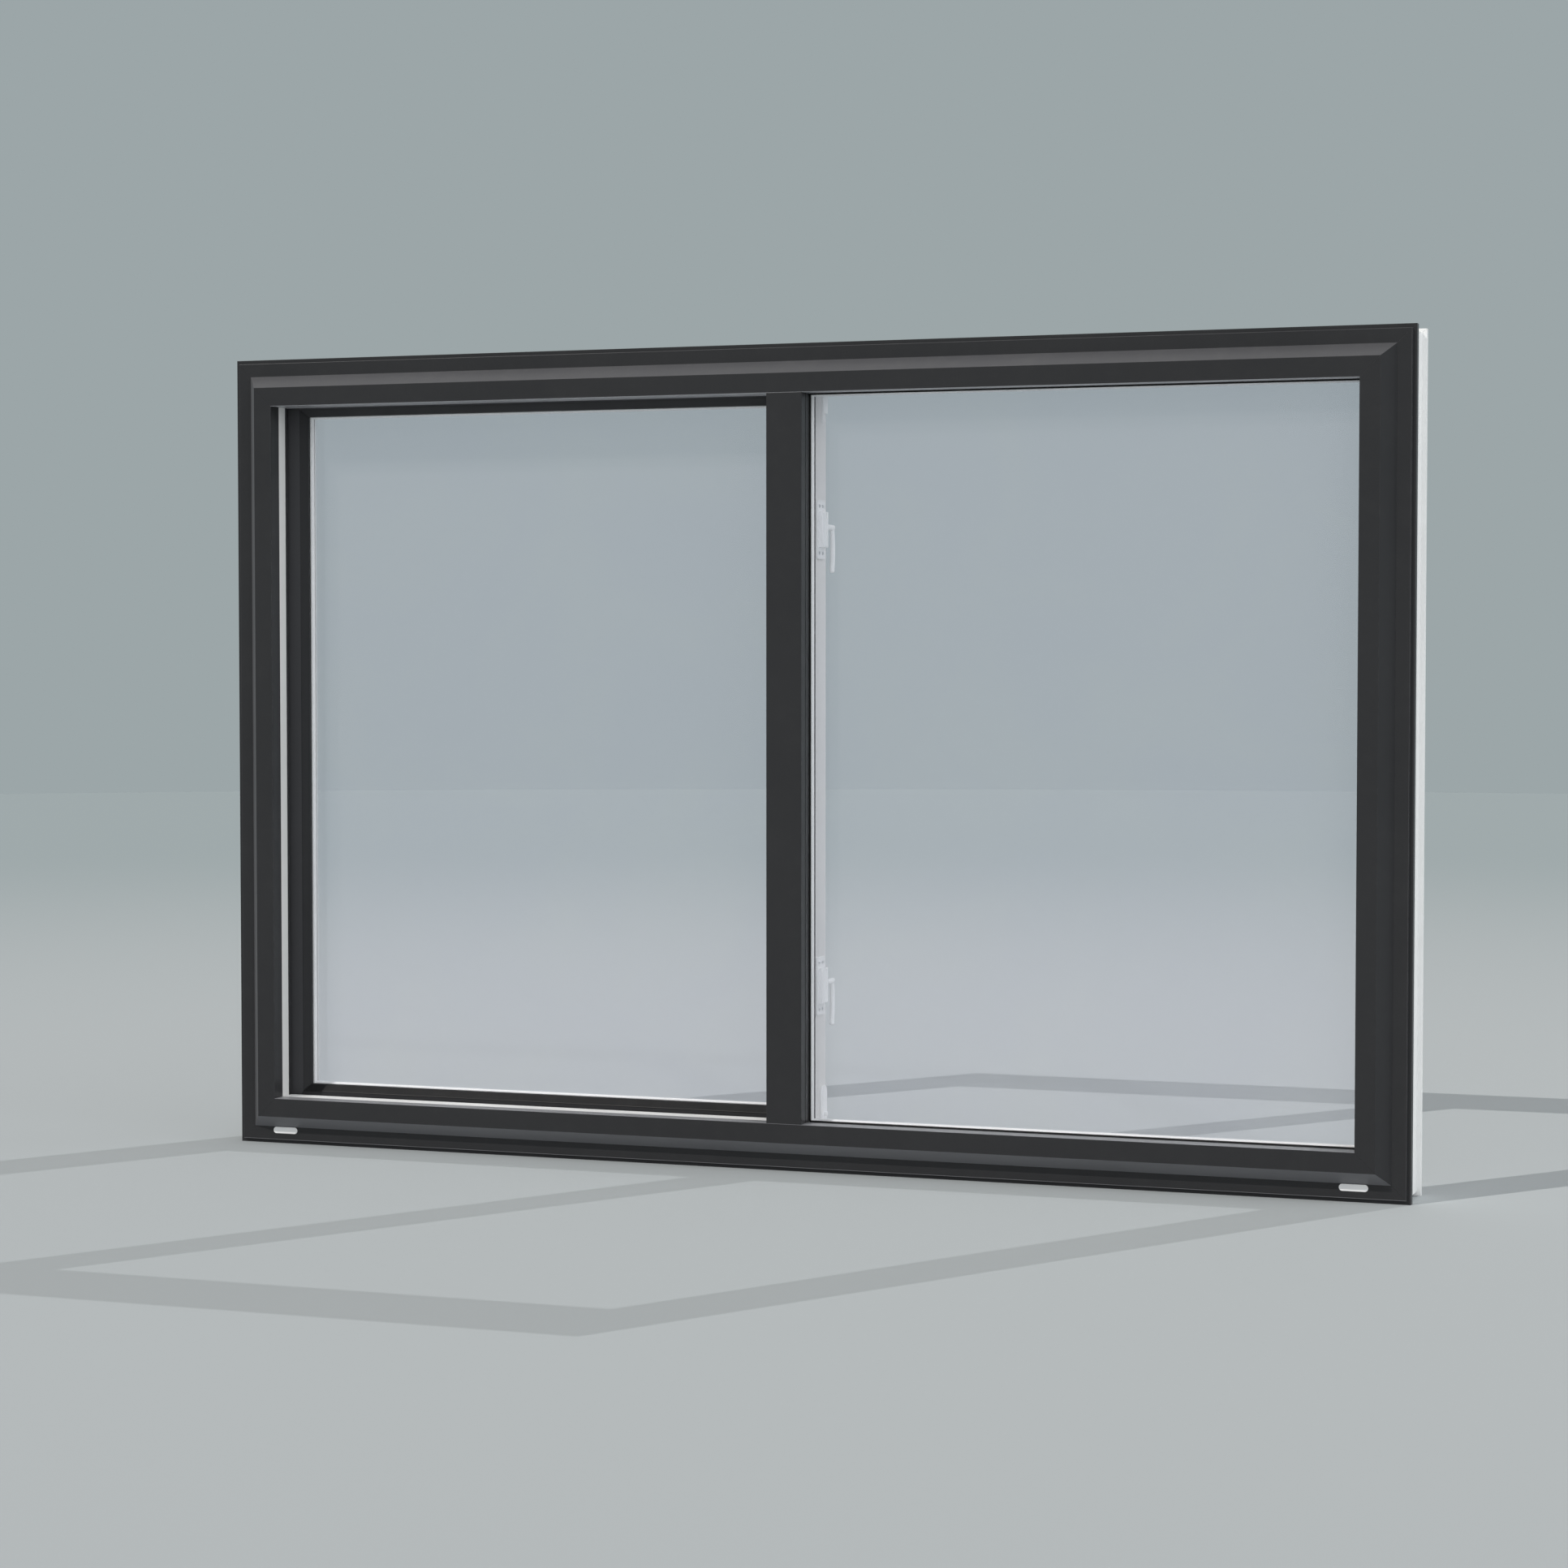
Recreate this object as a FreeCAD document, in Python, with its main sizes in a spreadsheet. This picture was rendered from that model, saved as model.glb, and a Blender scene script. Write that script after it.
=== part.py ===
"""Horizontal sliding window, two lights wide.

A dark trim stands in front of a white frame. The right light is fixed glass. The left light is
a sash that slides to the right, behind the fixed glass, and carries two latches.

Depth runs along Y, from the face of the trim to the room. An inset runs from an edge of a
rectangle towards its middle. Bars that go round a rectangle share one section and are mitred.
"""
import FreeCAD, Part
import os
import re
from collections import namedtuple

import Sketcher

SIZES = (
    ("window_width", 1524, "overall width, over the trim"),
    ("window_height", 1016, "overall height, over the trim"),
    ("nose_rise", 21, "trim face in front of the flange"),
    ("rim_step", 4, "step back at the flange's outer rim"),
    ("rim_width", 5, "width of that rim"),
    ("flange_width", 22, "flange, from the outer edge to the bevel"),
    ("flange_depth", 15, "thickness of the flange"),
    ("bevel_width", 15.5, "bevel between flange and face"),
    ("face_width", 24, "flat face of the trim"),
    ("lip_depth", 22, "return of the trim into the opening"),
    ("clip_inset", 42, "inset where the trim hooks over the frame"),
    ("box_inset", 5, "frame's outer wall, in from the trim's edge"),
    ("trim_seat", 1, "frame let into the back of the trim"),
    ("back_flange_depth", 8, "flange at the room side"),
    ("glazing_floor", 48, "inset of the glazing channel's floor"),
    ("divider_depth", 2.5, "leg between glass and sash track"),
    ("divider_inset", 58, "inset of that leg's edge"),
    ("track_floor", 30, "inset of the sash track's floor"),
    ("inner_leg_depth", 4, "leg that keeps the sash in, at the room side"),
    ("inner_leg_inset", 56, "inset of that leg's edge"),
    ("pane_depth", 3, "one sheet of glass"),
    ("cavity_depth", 8, "gap between the two sheets"),
    ("glass_edge_gap", 3, "play round a glass unit"),
    ("seal_width", 4, "sealant outside the spacer"),
    ("spacer_width", 8, "spacer, seen from the front"),
    ("bead_depth", 10, "outer bead in front of the fixed glass"),
    ("bead_lead", 5, "part of that bead flush with the trim"),
    ("bead_step", 1, "step of that bead at the glass"),
    ("liner_wall", 2, "wall of the opening's liner"),
    ("mullion_width", 45.6, "middle post, seen from the front"),
    ("mullion_groove", 0.8, "shadow groove in the post's sides"),
    ("mullion_groove_depth", 2, "width of that groove along the depth"),
    ("mullion_groove_at", 14, "place of that groove behind the face"),
    ("sash_gap", 5, "play in front of and behind the sash"),
    ("sash_depth", 40, "sash, front to back"),
    ("sash_bar", 36, "sash bar, seen from the front"),
    ("sash_face", 27.5, "flat part of the sash bar"),
    ("sash_bevel_depth", 6.5, "depth of the bevel at the sash glass"),
    ("sash_stop_depth", 10, "front stop that the sash glass lies on"),
    ("sash_rebate", 22, "glass rebate, in from the sash's edge"),
    ("sash_bead_lead", 3, "square part of the sash's inner bead"),
    ("sash_bead_slope", 6, "sloped part of the sash's inner bead"),
    ("sash_reach", 22.8, "sash past the window's middle when shut"),
    ("head_clearance", 6, "room over the sash"),
    ("rail_height", 5.7, "track rail"),
    ("rail_depth", 4, "thickness of the track rail"),
    ("glide_drop", 2.5, "glides below the sash"),
    ("run_gap", 0.3, "running gap at rail, seal and brush"),
    ("groove_depth", 14, "groove under the sash for the glides"),
    ("groove_height", 12, "height of that groove"),
    ("glide_length", 60, "one glide"),
    ("glide_inset", 80, "glide's middle, in from the sash's edge"),
    ("glide_play", 0.3, "glide in its groove, each side"),
    ("seal_depth", 18, "closing seal, along the depth"),
    ("seal_reach", 18.2, "closing seal, out of its pocket"),
    ("seal_wall", 2, "wall of the closing seal"),
    ("brush_width", 6, "brush strip"),
    ("brush_inset", 51, "inset of the brush strips' outer edge"),
    ("brush_end_gap", 8, "brush strips short of a corner"),
    ("stop_length", 44.2, "stop block, along the track"),
    ("stop_depth", 22, "stop block, along the depth"),
    ("stop_height", 20, "stop block over the track's floor"),
    ("weep_inset", 66, "drain slot's middle, in from the end"),
    ("weep_rise", 17.4, "drain slot's middle over the lower edge"),
    ("weep_length", 34.5, "drain slot's length"),
    ("weep_height", 8.6, "drain slot's height"),
    ("weep_sink", 3, "drain slot's depth"),
    ("weep_proud", 0.8, "drain cover in front of the flange"),
    ("weep_play", 0.1, "drain cover in its slot, each side"),
    ("screw_radius", 3, "hole for a fixing screw"),
    ("screw_setback", 7, "screw hole behind the divider"),
    ("screw_inset", 200, "screw hole, in from head and sill"),
    ("latch_inset", 226, "latch's middle, in from head and sill"),
    ("latch_setback", 2, "latch plate behind the sash's face"),
    ("plate_height", 72, "latch plate"),
    ("plate_depth", 28, "latch plate, along the depth"),
    ("plate_thickness", 2, "latch plate"),
    ("plate_round", 3, "rounded corner of the latch plate"),
    ("case_height", 44, "latch case"),
    ("case_depth", 22, "latch case, along the depth"),
    ("case_reach", 7, "latch case, out from the sash"),
    ("case_round", 1.5, "rounded edge of the latch case"),
    ("case_groove", 1.6, "groove along the latch case"),
    ("case_groove_sink", 1.2, "depth of that groove"),
    ("case_groove_at", 7, "that groove, in from the case's room side"),
    ("pivot_rise", 3.5, "lever's pivot over the latch's middle"),
    ("pivot_reach", 4.4, "lever's pivot, out from the sash"),
    ("spindle_radius", 2, "lever's spindle in the case"),
    ("spindle_play", 0.08, "play round the spindle"),
    ("spindle_length", 14, "spindle inside the case"),
    ("hub_radius", 3.6, "lever's hub behind the case"),
    ("hub_round", 1, "rounded end of the hub"),
    ("finger_gap", 7, "gap between sash and lever"),
    ("lever_rod", 6, "thickness of the lever's arm"),
    ("lever_length", 56, "lever's arm below its pivot"),
    ("lever_bow", 3, "bow of the lever's arm"),
    ("lever_tip_round", 2.4, "rounded tip of the lever"),
    ("foot_height", 62, "lower corner block"),
    ("foot_depth", 21, "lower corner block, along the depth"),
    ("foot_thickness", 2.5, "lower corner block"),
    ("foot_round", 9, "rounded top of the lower corner block"),
    ("knob_radius", 3, "knob on the lower corner block"),
    ("knob_reach", 4, "knob in front of its block"),
    ("knob_rise", 27, "knob over the sash's lower edge"),
    ("corner_height", 46, "upper corner block"),
    ("corner_depth", 14, "upper corner block, along the depth"),
    ("corner_thickness", 3, "upper corner block"),
    ("strip_height", 59, "strip beside the upper corner block"),
    ("strip_depth", 3, "that strip, along the depth"),
    ("block_setback", 1, "corner blocks in front of the sash's back"),
)

LIP_INSET = "(flange_width + bevel_width + face_width)"
FLANGE_BACK = "(nose_rise + flange_depth)"
FRAME_FRONT = f"({FLANGE_BACK} - trim_seat)"
UNIT_DEPTH = "(2 * pane_depth + cavity_depth)"
GLASS_FRONT = "(lip_depth + bead_depth)"
GLASS_BACK = f"({GLASS_FRONT} + {UNIT_DEPTH})"
DIVIDER_BACK = f"({GLASS_BACK} + divider_depth)"
SASH_FRONT = f"({DIVIDER_BACK} + sash_gap)"
SASH_BACK = f"({SASH_FRONT} + sash_depth)"
SASH_MIDDLE = f"({SASH_FRONT} + sash_depth / 2)"
SASH_GLASS_FRONT = f"({SASH_FRONT} + sash_stop_depth)"
SASH_GLASS_BACK = f"({SASH_GLASS_FRONT} + {UNIT_DEPTH})"
INNER_LEG_FRONT = f"({SASH_BACK} + sash_gap)"
FRAME_BACK = f"({INNER_LEG_FRONT} + inner_leg_depth)"
LEVER_BACK = f"({SASH_BACK} + finger_gap + lever_rod + lever_bow)"
ORIGIN_DEPTH = f"({LEVER_BACK} / 2)"

SASH_LEFT_INSET = "(track_floor + seal_reach + run_gap)"
SASH_HEAD_INSET = "(track_floor + head_clearance)"
SASH_BOTTOM = "(track_floor + rail_height + run_gap + glide_drop)"
SASH_WIDTH = f"(window_width / 2 - {SASH_LEFT_INSET} + sash_reach)"
SASH_HEIGHT = f"(window_height - {SASH_HEAD_INSET} - {SASH_BOTTOM})"
BEAD_REACH = f"({LIP_INSET} - glazing_floor)"
POST_EDGE = f"(mullion_width / 2 - {BEAD_REACH})"
TRACK_END = "(window_width / 2 - track_floor)"
STOP_START = f"({TRACK_END} - stop_length)"

Rect = namedtuple("Rect", "centre width bottom height")
WINDOW = Rect("0", "window_width", "0", "window_height")
SASH = Rect(f"(sash_reach - {SASH_WIDTH} / 2)", SASH_WIDTH, SASH_BOTTOM, SASH_HEIGHT)
FIXED = Rect(
    f"((window_width / 2 - glazing_floor + {POST_EDGE}) / 2)",
    f"(window_width / 2 - glazing_floor - {POST_EDGE})",
    "glazing_floor",
    "(window_height - 2 * glazing_floor)",
)

DEPTH_AXIS = FreeCAD.Vector(0, 1, 0)
UP = FreeCAD.Vector(0, 0, 1)
RIGHT = FreeCAD.Vector(1, 0, 0)
INWARD = {"sill": UP, "left": RIGHT, "head": -UP, "right": -RIGHT}
MITRE_MARGIN = 5

doc = FreeCAD.newDocument("sliding_window")
sheet = doc.addObject("Spreadsheet::Sheet", "Sizes")
pieces = []


def fill_sheet():
    """Write each driving size, its name and its meaning in one row."""
    for row, (alias, size, meaning) in enumerate(SIZES, start=1):
        sheet.set(f"A{row}", alias)
        sheet.set(f"B{row}", str(size))
        sheet.setAlias(f"B{row}", alias)
        sheet.set(f"C{row}", meaning)
    doc.recompute()


def ref(text):
    """Turn the plain names in a formula into references to the sheet."""
    return re.sub(r"[a-z_]+", r"Sizes.\g<0>", text)


def value(text):
    """The present value of a formula, in millimetres."""
    return float(sheet.evalExpression(ref(text)))


def bind(item, field, text):
    """Tie one field of an object to a formula."""
    item.setExpression(field, ref(text))


def place(item, x, depth, z, up=UP):
    """Put an object at a place in the window, its own upward axis turned to a direction."""
    turn = FreeCAD.Rotation(DEPTH_AXIS.cross(up), DEPTH_AXIS, up, "YZX")
    item.Placement = FreeCAD.Placement(FreeCAD.Vector(), turn)
    bind(item, "Placement.Base.x", x)
    bind(item, "Placement.Base.y", f"{depth} - {ORIGIN_DEPTH}")
    bind(item, "Placement.Base.z", z)


def new_body(label, x, depth, z, up=UP):
    """An empty body, placed in the window and listed as a piece."""
    body = doc.addObject("PartDesign::Body", label)
    body.Label = label
    place(body, x, depth, z, up)
    pieces.append(body)
    return body


def new_sketch(body, name, role, shift="0"):
    """A sketch on one of the body's own planes, shifted along that plane's normal."""
    planes = {item.Role: item for item in body.Origin.OriginFeatures}
    sketch = body.newObject("Sketcher::SketchObject", name)
    sketch.AttachmentSupport = (planes[role], [""])
    sketch.MapMode = "FlatFace"
    bind(sketch, "AttachmentOffset.Base.z", shift)
    return sketch


def pin_point(sketch, edge, end, across, along):
    """Fix one end of a sketch edge at two formulas."""
    for kind, text in (("DistanceX", across), ("DistanceY", along)):
        rule = Sketcher.Constraint(kind, -1, 1, edge, end, value(text))
        bind(sketch, f"Constraints[{sketch.addConstraint(rule)}]", text)


def outline(sketch, points):
    """Add a closed outline of straight edges through points given as pairs of formulas."""
    corners = [FreeCAD.Vector(value(across), value(along), 0) for across, along in points]
    count = len(corners)
    first = sketch.GeometryCount
    for k in range(count):
        sketch.addGeometry(Part.LineSegment(corners[k], corners[(k + 1) % count]))
    for k in range(count):
        following = first + (k + 1) % count
        sketch.addConstraint(Sketcher.Constraint("Coincident", first + k, 2, following, 1))
    for k, (across, along) in enumerate(points):
        pin_point(sketch, first + k, 1, across, along)


def rectangle(sketch, left, right, low, high):
    """Add a rectangle between four formulas."""
    outline(sketch, [(left, low), (right, low), (right, high), (left, high)])


def circle(sketch, across, along, radius):
    """Add a circle with its centre and radius tied to formulas."""
    centre = FreeCAD.Vector(value(across), value(along), 0)
    edge = sketch.addGeometry(Part.Circle(centre, FreeCAD.Vector(0, 0, 1), value(radius)))
    pin_point(sketch, edge, 3, across, along)
    rule = sketch.addConstraint(Sketcher.Constraint("Radius", edge, value(radius)))
    bind(sketch, f"Constraints[{rule}]", radius)


def stadium(sketch, across, along, length, height):
    """Add a slot shape with half-round ends, level, about a centre."""
    radius = f"({height} / 2)"
    half = f"({length} / 2 - {radius})"
    ends = []
    for sign, start, stop in (("+", -90, 90), ("-", 90, 270)):
        middle = f"{across} {sign} {half}"
        centre = FreeCAD.Vector(value(middle), value(along), 0)
        round_end = Part.Circle(centre, FreeCAD.Vector(0, 0, 1), value(radius))
        turn = FreeCAD.Units.Quantity("1 deg").getValueAs("rad").Value
        edge = sketch.addGeometry(Part.ArcOfCircle(round_end, start * turn, stop * turn))
        pin_point(sketch, edge, 3, middle, along)
        rule = sketch.addConstraint(Sketcher.Constraint("Radius", edge, value(radius)))
        bind(sketch, f"Constraints[{rule}]", radius)
        ends.append(edge)
    right, left = ends
    for first, second in ((right, left), (left, right)):
        begin = sketch.getPoint(first, 2)
        finish = sketch.getPoint(second, 1)
        line = sketch.addGeometry(Part.LineSegment(begin, finish))
        sketch.addConstraint(Sketcher.Constraint("Tangent", first, 2, line, 1))
        sketch.addConstraint(Sketcher.Constraint("Tangent", line, 2, second, 1))


def pad(body, sketch, length, backwards=False):
    """Raise a sketch into a solid."""
    feature = body.newObject("PartDesign::Pad", f"{sketch.Name}_pad")
    feature.Profile = sketch
    feature.Reversed = backwards
    bind(feature, "Length", length)
    sketch.Visibility = False
    doc.recompute()
    return feature


def pocket(body, sketch, length, both_ways=False, backwards=False):
    """Cut a sketch into the solid, and make sure that it took something away."""
    before = body.Shape.Volume
    feature = body.newObject("PartDesign::Pocket", f"{sketch.Name}_cut")
    feature.Profile = sketch
    feature.SideType = "Symmetric" if both_ways else "One side"
    feature.Reversed = backwards
    bind(feature, "Length", length)
    sketch.Visibility = False
    doc.recompute()
    if body.Shape.Volume >= before:
        raise RuntimeError(f"{body.Label}: {sketch.Name} cuts nothing")
    return feature


def fillet(body, radius, chosen):
    """Round the edges of the body's last feature that a test picks."""
    base = body.Tip
    names = [f"Edge{k}" for k, edge in enumerate(base.Shape.Edges, start=1) if chosen(edge)]
    feature = body.newObject("PartDesign::Fillet", f"{body.Name}_round")
    feature.Base = (base, names)
    bind(feature, "Radius", radius)
    doc.recompute()
    return feature


def runs_along(axis):
    """A test for straight edges along one axis."""
    def test(edge):
        if edge.Curve.TypeId != "Part::GeomLine":
            return False
        return abs(edge.tangentAt(edge.FirstParameter).dot(axis)) > 1 - 1e-9
    return test


def block(label, x, depth, z, length, thickness, height):
    """A plain box, listed as a piece."""
    box = doc.addObject("Part::Box", label)
    box.Label = label
    for field, text in (("Length", length), ("Width", thickness), ("Height", height)):
        bind(box, field, text)
    place(box, x, depth, z)
    pieces.append(box)
    return box


def bar(label, rect, side, section, start=None, stop=None):
    """A length of extruded section along one side of a rectangle.

    The section is a list of (depth, inset) formulas. An end without a formula of its own is the
    rectangle's corner, and is mitred.
    """
    half = f"({rect.width} / 2)" if side in ("sill", "head") else f"({rect.height} / 2)"
    shift = {"left": f"- {rect.width} / 2", "right": f"+ {rect.width} / 2"}.get(side, "")
    rise = {"sill": "", "head": f"+ {rect.height}"}.get(side, f"+ {rect.height} / 2")
    body = new_body(label, f"{rect.centre} {shift}", "0", f"{rect.bottom} {rise}", INWARD[side])
    first = start or f"(-1 * {half})"
    last = stop or half
    profile = new_sketch(body, f"{label}_section", "YZ_Plane", first)
    outline(profile, section)
    pad(body, profile, f"{last} - {first}")
    reach = max((inset for _, inset in section), key=value)
    far = f"({reach} + {MITRE_MARGIN})"
    mitres = new_sketch(body, f"{label}_mitres", "XZ_Plane")
    for given, corner, sign in ((start, first, "-"), (stop, last, "+")):
        inward = "+" if sign == "-" else "-"
        outside = f"{corner} {sign} {MITRE_MARGIN}"
        if not given:
            outline(mitres, [
                (outside, f"-1 * {MITRE_MARGIN}"),
                (outside, far),
                (f"{corner} {inward} {far}", far),
            ])
    pocket(body, mitres, f"4 * {FRAME_BACK}", both_ways=True)
    return body


def ring(labels, rect, section, changed=None):
    """Four mitred bars round a rectangle; a side may have a section of its own."""
    bars = {}
    for side, label in labels.items():
        bars[side] = bar(label, rect, side, (changed or {}).get(side, section))
    return bars


def make_trim():
    """Dark trim: flange, bevel, flat face and the lip that returns into the opening."""
    section = [
        ("nose_rise + rim_step", "0"),
        ("nose_rise + rim_step", "rim_width"),
        ("nose_rise", "rim_width"),
        ("nose_rise", "flange_width"),
        ("0", "flange_width + bevel_width"),
        ("0", LIP_INSET),
        ("lip_depth", LIP_INSET),
        ("lip_depth", "clip_inset"),
        (FRAME_FRONT, "clip_inset"),
        (FRAME_FRONT, "box_inset"),
        (FLANGE_BACK, "box_inset"),
        (FLANGE_BACK, "0"),
    ]
    bars = ring({side: f"trim_{side}" for side in INWARD}, WINDOW, section)
    slots = new_sketch(bars["sill"], "weep_slots", "XZ_Plane", "-1 * nose_rise")
    for middle in ("(window_width / 2 - weep_inset)", "(weep_inset - window_width / 2)"):
        stadium(slots, middle, "weep_rise", "weep_length", "weep_height")
    pocket(bars["sill"], slots, "weep_sink")


def make_weep_covers():
    """White drain covers that fill the slots in the lower trim."""
    for side, middle in (("left", "weep_inset - window_width / 2"),
                         ("right", "window_width / 2 - weep_inset")):
        label = f"weep_cover_{side}"
        cover = new_body(label, middle, "nose_rise - weep_proud", "weep_rise")
        shape = new_sketch(cover, f"{label}_shape", "XZ_Plane")
        stadium(shape, "0", "0", "(weep_length - 2 * weep_play)", "(weep_height - 2 * weep_play)")
        pad(cover, shape, "weep_sink + weep_proud", backwards=True)


def make_frame():
    """White frame: outer box, glazing channel, divider, sash track and room-side flange."""
    back_flange_front = f"{FRAME_BACK} - back_flange_depth"
    section = [
        (FRAME_FRONT, "box_inset"),
        (FRAME_FRONT, "clip_inset"),
        ("lip_depth", "clip_inset"),
        ("lip_depth", "glazing_floor"),
        (GLASS_BACK, "glazing_floor"),
        (GLASS_BACK, "divider_inset"),
        (DIVIDER_BACK, "divider_inset"),
        (DIVIDER_BACK, "track_floor"),
        (INNER_LEG_FRONT, "track_floor"),
        (INNER_LEG_FRONT, "inner_leg_inset"),
        (FRAME_BACK, "inner_leg_inset"),
        (FRAME_BACK, "0"),
        (back_flange_front, "0"),
        (back_flange_front, "box_inset"),
    ]
    bars = ring({side: f"frame_{side}" for side in INWARD}, WINDOW, section)
    for side in ("left", "right"):
        holes = new_sketch(bars[side], f"screw_holes_{side}", "XY_Plane", "track_floor")
        for sign in ("+", "-"):
            along = f"0 {sign} (window_height / 2 - screw_inset)"
            circle(holes, along, f"{DIVIDER_BACK} + screw_setback", "screw_radius")
        pocket(bars[side], holes, "track_floor")


def make_liners():
    """White liners that cover the unglazed half of the glazing channel."""
    section = [
        ("lip_depth", "glazing_floor"),
        ("lip_depth", LIP_INSET),
        (GLASS_BACK, LIP_INSET),
        (GLASS_BACK, "glazing_floor"),
        (f"{GLASS_BACK} - liner_wall", "glazing_floor"),
        (f"{GLASS_BACK} - liner_wall", f"{LIP_INSET} - liner_wall"),
        ("lip_depth + liner_wall", f"{LIP_INSET} - liner_wall"),
        ("lip_depth + liner_wall", "glazing_floor"),
    ]
    bar("liner_left", WINDOW, "left", section)
    bar("liner_sill", WINDOW, "sill", section, stop="(-1 * mullion_width / 2)")
    bar("liner_head", WINDOW, "head", section, start="(mullion_width / 2)")


def make_mullion():
    """Fixed post in the middle: dark face outside, white body with a glazing rebate inside."""
    half = "mullion_width / 2"
    inner = f"({half} - mullion_groove)"
    groove_end = "mullion_groove_at + mullion_groove_depth"
    face = new_body("mullion_trim", "0", "0", LIP_INSET)
    section = new_sketch(face, "mullion_trim_section", "XY_Plane")
    outline(section, [
        (f"-1 * {half}", "0"), (half, "0"),
        (half, "mullion_groove_at"), (inner, "mullion_groove_at"),
        (inner, groove_end), (half, groove_end),
        (half, "lip_depth"), (f"-1 * {half}", "lip_depth"),
        (f"-1 * {half}", groove_end), (f"-1 * {inner}", groove_end),
        (f"-1 * {inner}", "mullion_groove_at"), (f"-1 * {half}", "mullion_groove_at"),
    ])
    pad(face, section, f"window_height - 2 * {LIP_INSET}")

    post = new_body("mullion_post", "0", "0", "0")
    core = new_sketch(post, "mullion_core", "XY_Plane", "glazing_floor")
    rectangle(core, f"-1 * {half}", POST_EDGE, "lip_depth", GLASS_BACK)
    pad(post, core, "window_height - 2 * glazing_floor")
    leg = new_sketch(post, "mullion_leg", "XY_Plane", "divider_inset")
    leg_edge = f"{half} - ({LIP_INSET} - divider_inset)"
    rectangle(leg, f"-1 * {half}", leg_edge, GLASS_BACK, DIVIDER_BACK)
    pad(post, leg, "window_height - 2 * divider_inset")


def make_glass(name, rect, edge, front):
    """Two sheets of glass with a spacer between them, an edge inside a rectangle."""
    left = f"{rect.centre} - {rect.width} / 2 + {edge}"
    low = f"{rect.bottom} + {edge}"
    width = f"({rect.width} - 2 * {edge})"
    height = f"({rect.height} - 2 * {edge})"
    cavity = f"{front} + pane_depth"
    block(f"{name}_pane_outer", left, front, low, width, "pane_depth", height)
    inner = f"{cavity} + cavity_depth"
    block(f"{name}_pane_inner", left, inner, low, width, "pane_depth", height)
    label = f"{name}_spacer"
    spacer = new_body(label, left, cavity, low)
    shape = new_sketch(spacer, f"{label}_shape", "XZ_Plane")
    inside = "(seal_width + spacer_width)"
    for gap in ("seal_width", inside):
        rectangle(shape, gap, f"{width} - {gap}", gap, f"{height} - {gap}")
    pad(spacer, shape, "cavity_depth", backwards=True)


def make_fixed_light():
    """Fixed glass, and the dark beads that hold it from outside."""
    bead_back = "lip_depth + bead_depth"
    lead_end = "lip_depth + bead_lead"
    section = [
        ("lip_depth", "0"),
        ("lip_depth", BEAD_REACH),
        (lead_end, BEAD_REACH),
        (lead_end, f"{BEAD_REACH} - bead_step"),
        (bead_back, f"{BEAD_REACH} - bead_step"),
        (bead_back, "0"),
    ]
    ring({side: f"fixed_bead_{side}" for side in INWARD}, FIXED, section)
    make_glass("fixed", FIXED, "glass_edge_gap", GLASS_FRONT)


def make_track():
    """Track rail, end stop, closing seal and brush strips."""
    rail_front = f"{SASH_MIDDLE} - rail_depth / 2"
    rail_length = f"{STOP_START} + {TRACK_END}"
    block("track_rail", f"-1 * {TRACK_END}", rail_front, "track_floor",
          rail_length, "rail_depth", "rail_height")
    block("track_stop", STOP_START, f"{SASH_MIDDLE} - stop_depth / 2", "track_floor",
          f"{TRACK_END} - {STOP_START}", "stop_depth", "stop_height")

    seal = new_body("closing_seal", f"-1 * {TRACK_END}", SASH_MIDDLE, SASH_BOTTOM)
    section = new_sketch(seal, "closing_seal_section", "XY_Plane")
    half = "seal_depth / 2"
    rectangle(section, "0", "seal_reach", f"-1 * {half}", half)
    rectangle(section, "seal_wall", "seal_reach - seal_wall",
              f"seal_wall - {half}", f"{half} - seal_wall")
    pad(seal, section, SASH_HEIGHT)


def make_brushes():
    """Brush strips on the divider, against the sash: head, sill, left side and middle post."""
    left = "(brush_inset - window_width / 2)"
    span = "(window_width / 2 - brush_inset - brush_end_gap - mullion_width / 2)"
    tall = "(window_height - 2 * brush_inset - 2 * brush_width - 2 * brush_end_gap)"
    low = "(brush_inset + brush_width + brush_end_gap)"
    places = {
        "head": (left, "window_height - brush_inset - brush_width", span, "brush_width"),
        "sill": (left, "brush_inset", span, "brush_width"),
        "left": (left, low, "brush_width", tall),
        "post": ("-1 * brush_width / 2", low, "brush_width", tall),
    }
    strips = []
    for name, (x, z, length, height) in places.items():
        strips.append(block(f"brush_{name}", x, DIVIDER_BACK, z,
                            length, "sash_gap - run_gap", height))
        pieces.remove(strips[-1])
    group = doc.addObject("Part::Compound", "brush_strips")
    group.Label = "brush_strips"
    group.Links = strips
    pieces.append(group)


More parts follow.
